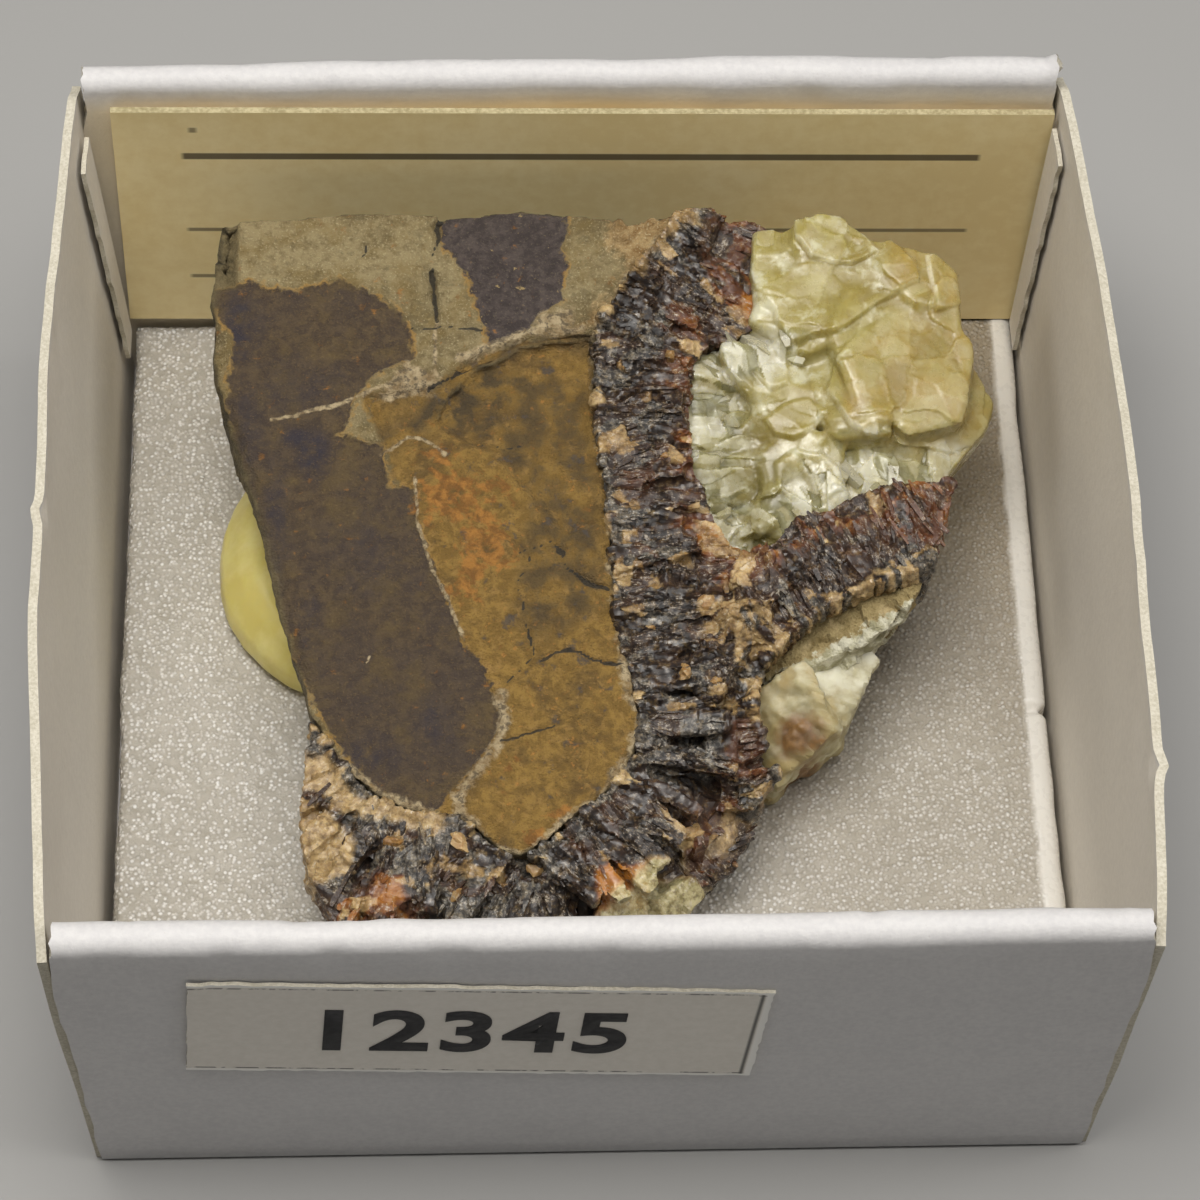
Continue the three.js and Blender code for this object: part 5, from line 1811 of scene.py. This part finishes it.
def buildYellow():
    piece = grownCopy("yellow_calcite", "yellowMass", yellow)
    melt(piece, yellow["melted"])
    closerDetail(piece, -6, 0.4)
    points, normals = pointsOf(piece), normalsOf(piece)
    flat = toFace(points)
    u, v = flat[:, 0], flat[:, 1]
    onFace = ramp(normals[:, 2], 0.2, 0.6)
    pushed = flat * (1, 1, 0.4) + 0.7 * np.stack([noise(points, 1.9, k) for k in (41, 42, 43)], axis=1)
    broad, broadNumber = facets(pushed, 2.6, 4.2, 5)
    slight, slightNumber = facets(pushed, 1.1, 2.0, 8)
    uW, vW = u + 0.3 * noise(flat, 1.6, 44), v + 0.3 * noise(flat, 1.6, 45)
    near, along, _, _ = awayFrom(u, v, yellowContact)
    fromVein = near + 0.9 * roughNoise(flat, 1.6, 46, 3) + 3 * ramp(v, 10.6, 11.6)
    fibrous = onFace * (1 - ramp(fromVein, 1.6, 2.8))
    relief = 0.34 * broad * (1 - 0.6 * fibrous) + 0.1 * slight * (1 - fibrous)
    relief += 0.02 * roughNoise(points, 1.2, 7, 3)
    rim = np.zeros(len(u))
    for outline, height, way, reach in yellow["shelves"]:
        depth = patchDepth(uW, vW, outline)
        gone = (uW * way[0] + vW * way[1] - min(a * way[0] + b * way[1] for a, b in outline)) / reach
        left = np.clip(1 - gone, 0, 1)
        relief += height * onFace * ramp(depth, 0, 0.16) * left
        # rim: a painted highlight along each shelf's broken edge
        line = (1 - ramp(np.abs(depth - 0.1), 0.04, 0.13)) * ramp(left, 0.4, 0.8)
        rim = np.maximum(rim, line * ramp(noise(flat, 1.5, 51), -0.2, 0.3))
    bent, out = along + 0.3 * noise(flat, 1.4, 47), near * 0.42 + 0.2 * noise(flat, 1.1, 50)
    fibre = np.stack([bent, out, 0 * u], axis=1)
    shard, number = facets(fibre, 0.85, 1.0, 48)
    sliver, fineNumber = facets(fibre, 0.4, 0.6, 49)
    relief += fibrous * (0.26 * shard + 0.08 * sliver + 0.1 * (number - 0.5))
    relief = np.maximum(relief, -0.26)
    # the mass reaches over to the vein, and up to the stone's upper edge
    toVein = turnedToWorld(np.array([[-1.0, 0, 0]]))[0]
    closer = (0.2 + 0.3 * ramp(v, 10.5, 12) + 0.3 * ramp(v, 13, 14)) * (1 - ramp(near, 0.2, 0.9))
    closer *= ramp(normals @ toVein, 0, 0.6)
    toTop = turnedToWorld(np.array([[0, 1.0, 0]]))[0]
    higher = 0.8 * ramp(normals @ toTop, 0.1, 0.6) * ramp(v, 12.4, 13.4) * (1 - ramp(u, 9.2, 10.4))
    points += normals * relief[:, None] + toVein * closer[:, None] + toTop * higher[:, None]
    movePoints(piece, points)
    melt(piece, 1)
    melt(piece, 2, fibrous < 0.4)
    mixed = 0.55 * number + 0.45 * fineNumber
    white = softMask(u, v, yellow["whiteArea"], 33) * ramp(mixed, 0.2, 0.5)
    white = np.maximum(0.75 * fibrous * ramp(mixed, 0.42, 0.62), white)
    grey = np.maximum(fibrous * ramp(mixed, 0.54, 0.36), 0.55 * softMask(u, v, yellow["greyArea"], 32))
    # each facet's painted light or shade
    shade = 0.5 * broadNumber + 0.35 * slightNumber + 0.15 * fineNumber
    paintCalcite(piece, softMask(u, v, yellow["honeyArea"], 31), grey, white, 0, rim * onFace, shade)
    smoothShade(piece, 32)
    lemon = calciteMaterial("yellowCalcite", [(152, 136, 70), (168, 154, 88), (180, 170, 108)], 0.14, 0.7)
    finish(piece, lemon, "yellow_calcite", "yellow_calcite")
    print("yellow triangles:", trianglesOf(piece))
    return treeOf(piece)


def buildShards(ground):
    # shards that grew from the vein into the yellow mass, thickest at the vein
    rng = np.random.default_rng(11)

    def nearVein(a, b):
        near = lineDistance(a, b, yellowContact)[0]
        chance = np.modf(np.abs(np.sin(a * 91.7 + b * 47.3)) * 437.5)[0]
        there = (b < 11) & insideOf(a, b, faceEdge) & insideOf(a, b, yellowSide)
        return there & (chance > ramp(near, 0.2, 3.6))

    places = sampleIn(rng, yellow["shards"], nearVein, (4.5, 0.5), (18, 16.5))
    height = groundUnder(ground, places)
    near, _, du, dv = awayFrom(places[:, 0], places[:, 1], yellowContact)
    turn = rng.normal(0, 0.5, len(places))
    rise = rng.uniform(-0.1, 0.45, len(places))
    du, dv = du * np.cos(turn) - dv * np.sin(turn), du * np.sin(turn) + dv * np.cos(turn)
    along = unit(np.stack([du * np.cos(rise), dv * np.cos(rise), np.sin(rise)], axis=1))
    wideWay = unit(np.cross(along, rng.normal(0, 1, (len(places), 3))))
    long = rng.uniform(0.9, 1.9, len(places))
    wide = rng.uniform(0.4, 0.9, len(places))
    thick = rng.uniform(0.3, 0.6, len(places))
    start = np.column_stack([places, height - 0.3]) - along * (0.6 * long)[:, None]
    good = ~np.isnan(height)
    glassy = calciteMaterial("glassyCalcite", [(200, 192, 148), (216, 208, 170), (226, 218, 186)], 0.4, 0.25)
    shards = plantBlades("yellowShards", start, along, wideWay, (long, wide, thick), good)
    kind = copied(shards, rng.uniform(0, 1, int(good.sum())))
    # the last share gives each shard its painted light or shade
    paintCalcite(shards, 0, 0.6 * (kind > 0.8), 0.5 * (kind < 0.4), 0, 0, kind)
    finish(shards, glassy, "yellow_calcite", "yellow_calcite")


pale = {"grown": 0.24, "voxel": 0.13, "melted": 2}


def buildPale():
    piece = grownCopy("pale_calcite", "paleMass", pale)
    points, normals = pointsOf(piece), normalsOf(piece)
    _, number, edge = cells(points, 1.5, 15)
    _, fineNumber, fineEdge = cells(points, 0.55, 16)
    relief = 0.12 * ramp(edge, 0, 0.5) + 0.1 * ramp(fineEdge, 0, 0.12) * fineNumber
    relief += 0.2 * roughNoise(points, 0.7, 17, 4)
    toRight = turnedToWorld(np.array([[0.85, -0.5, 0]]))[0]
    pushed = 0.4 * ramp(normals @ toRight, 0.1, 0.7)
    points += normals * (relief - 0.04)[:, None] + toRight * pushed[:, None]
    movePoints(piece, points)
    melt(piece, pale["melted"])
    flat = toFace(pointsOf(piece))
    u, v = flat[:, 0], flat[:, 1]
    wander = 0.3 * roughNoise(flat, 0.9, 18, 3)
    amber = 0.75 - 0.75 * ramp(np.hypot((u - 8.9) / 1.5, (v + 6.9) / 1.3) + wander, 0.3, 1.2)
    wander += 0.5 * (fineNumber - 0.5) + 0.4 * (number - 0.5)
    honey = 1 - ramp(np.hypot((u - 8.5) / 2.4, (v + 5.6) / 2.4) + wander, 0.6, 1.3)
    white = 0.7 * ramp(v + 0.6 * u + wander, 0.4, 2.4)
    # the last share is each cell's painted light or shade
    paintCalcite(piece, honey, 0.1 * (1 - honey), white, amber, 0, 0.5 * number + 0.5 * fineNumber)
    smoothShade(piece, 35)
    colours = [(150, 138, 98), (176, 168, 132), (198, 193, 165)]
    material = calciteMaterial("paleCalcite", colours, 0.1, 0.4, (0.7, 0.42))
    finish(piece, material, "pale_calcite", "pale_calcite")


rind = {
    "grown": 0.3,
    "voxel": 0.13,
    "sugarEdge": [(6, -5.1), (8.9, -3.8), (10.4, -3.0), (12.7, -2.0), (16, -0.5)],
    "sugarSide": [(6, -5.1), (16, -0.5), (16, -12), (6, -12)],
}


def rindMaterial():
    material, tree, shader = newMaterial("rindStone", Roughness=0.7)
    midMask, mid = grain(tree, 0.4, 0.6)
    fineMask, fine = grain(tree, 0.1)
    sugar = over(tree, (176, 170, 136), (226, 222, 198), mottle(tree, 0.6, 0.42, 0.58))
    colour = coats(
        tree, (124, 106, 62),
        ((172, 152, 104), midMask),
        ((206, 184, 138), mottle(tree, 0.9, 0.54, 0.64, 0.8)),
        ((206, 188, 140), fineMask, 0.25),
        (sugar, edged(tree, mask(tree, "sugar"), 0.6, mid, 0.03)),
    )
    dress(tree, shader, colour)
    bump(tree, shader, plus(tree, fine, mid), 0.14, 0.9)
    return material


def buildRind():
    piece = grownCopy("mudstone_rind", "rindStrip", rind)
    points, normals = pointsOf(piece), normalsOf(piece)
    pushed = points + 0.3 * np.stack([noise(points, 1.2, k) for k in (52, 53, 54)], axis=1)
    points = crackle(points, normals, 1.4, 0.5, 0.3, 26, pushed)
    points += normals * (0.2 * roughNoise(points, 0.8, 25, 4))[:, None]
    toVein = turnedToWorld(np.array([[-0.45, 0.8, 0.4]]))[0]
    points += toVein * (0.45 * ramp(normals @ toVein, 0.2, 0.8))[:, None]
    movePoints(piece, points)
    flat = toFace(points)
    below, _ = lineDistance(flat[:, 0], flat[:, 1], rind["sugarEdge"])
    below *= np.where(insideOf(flat[:, 0], flat[:, 1], rind["sugarSide"]), 1, -1)
    paint(piece, "sugar", asField(below))
    smoothShade(piece, 35)
    finish(piece, rindMaterial(), "mudstone_rind", "mudstone_rind")


buildShards(buildYellow())
buildPale()
buildRind()
print("stage: yellow and pale calcite, rind")
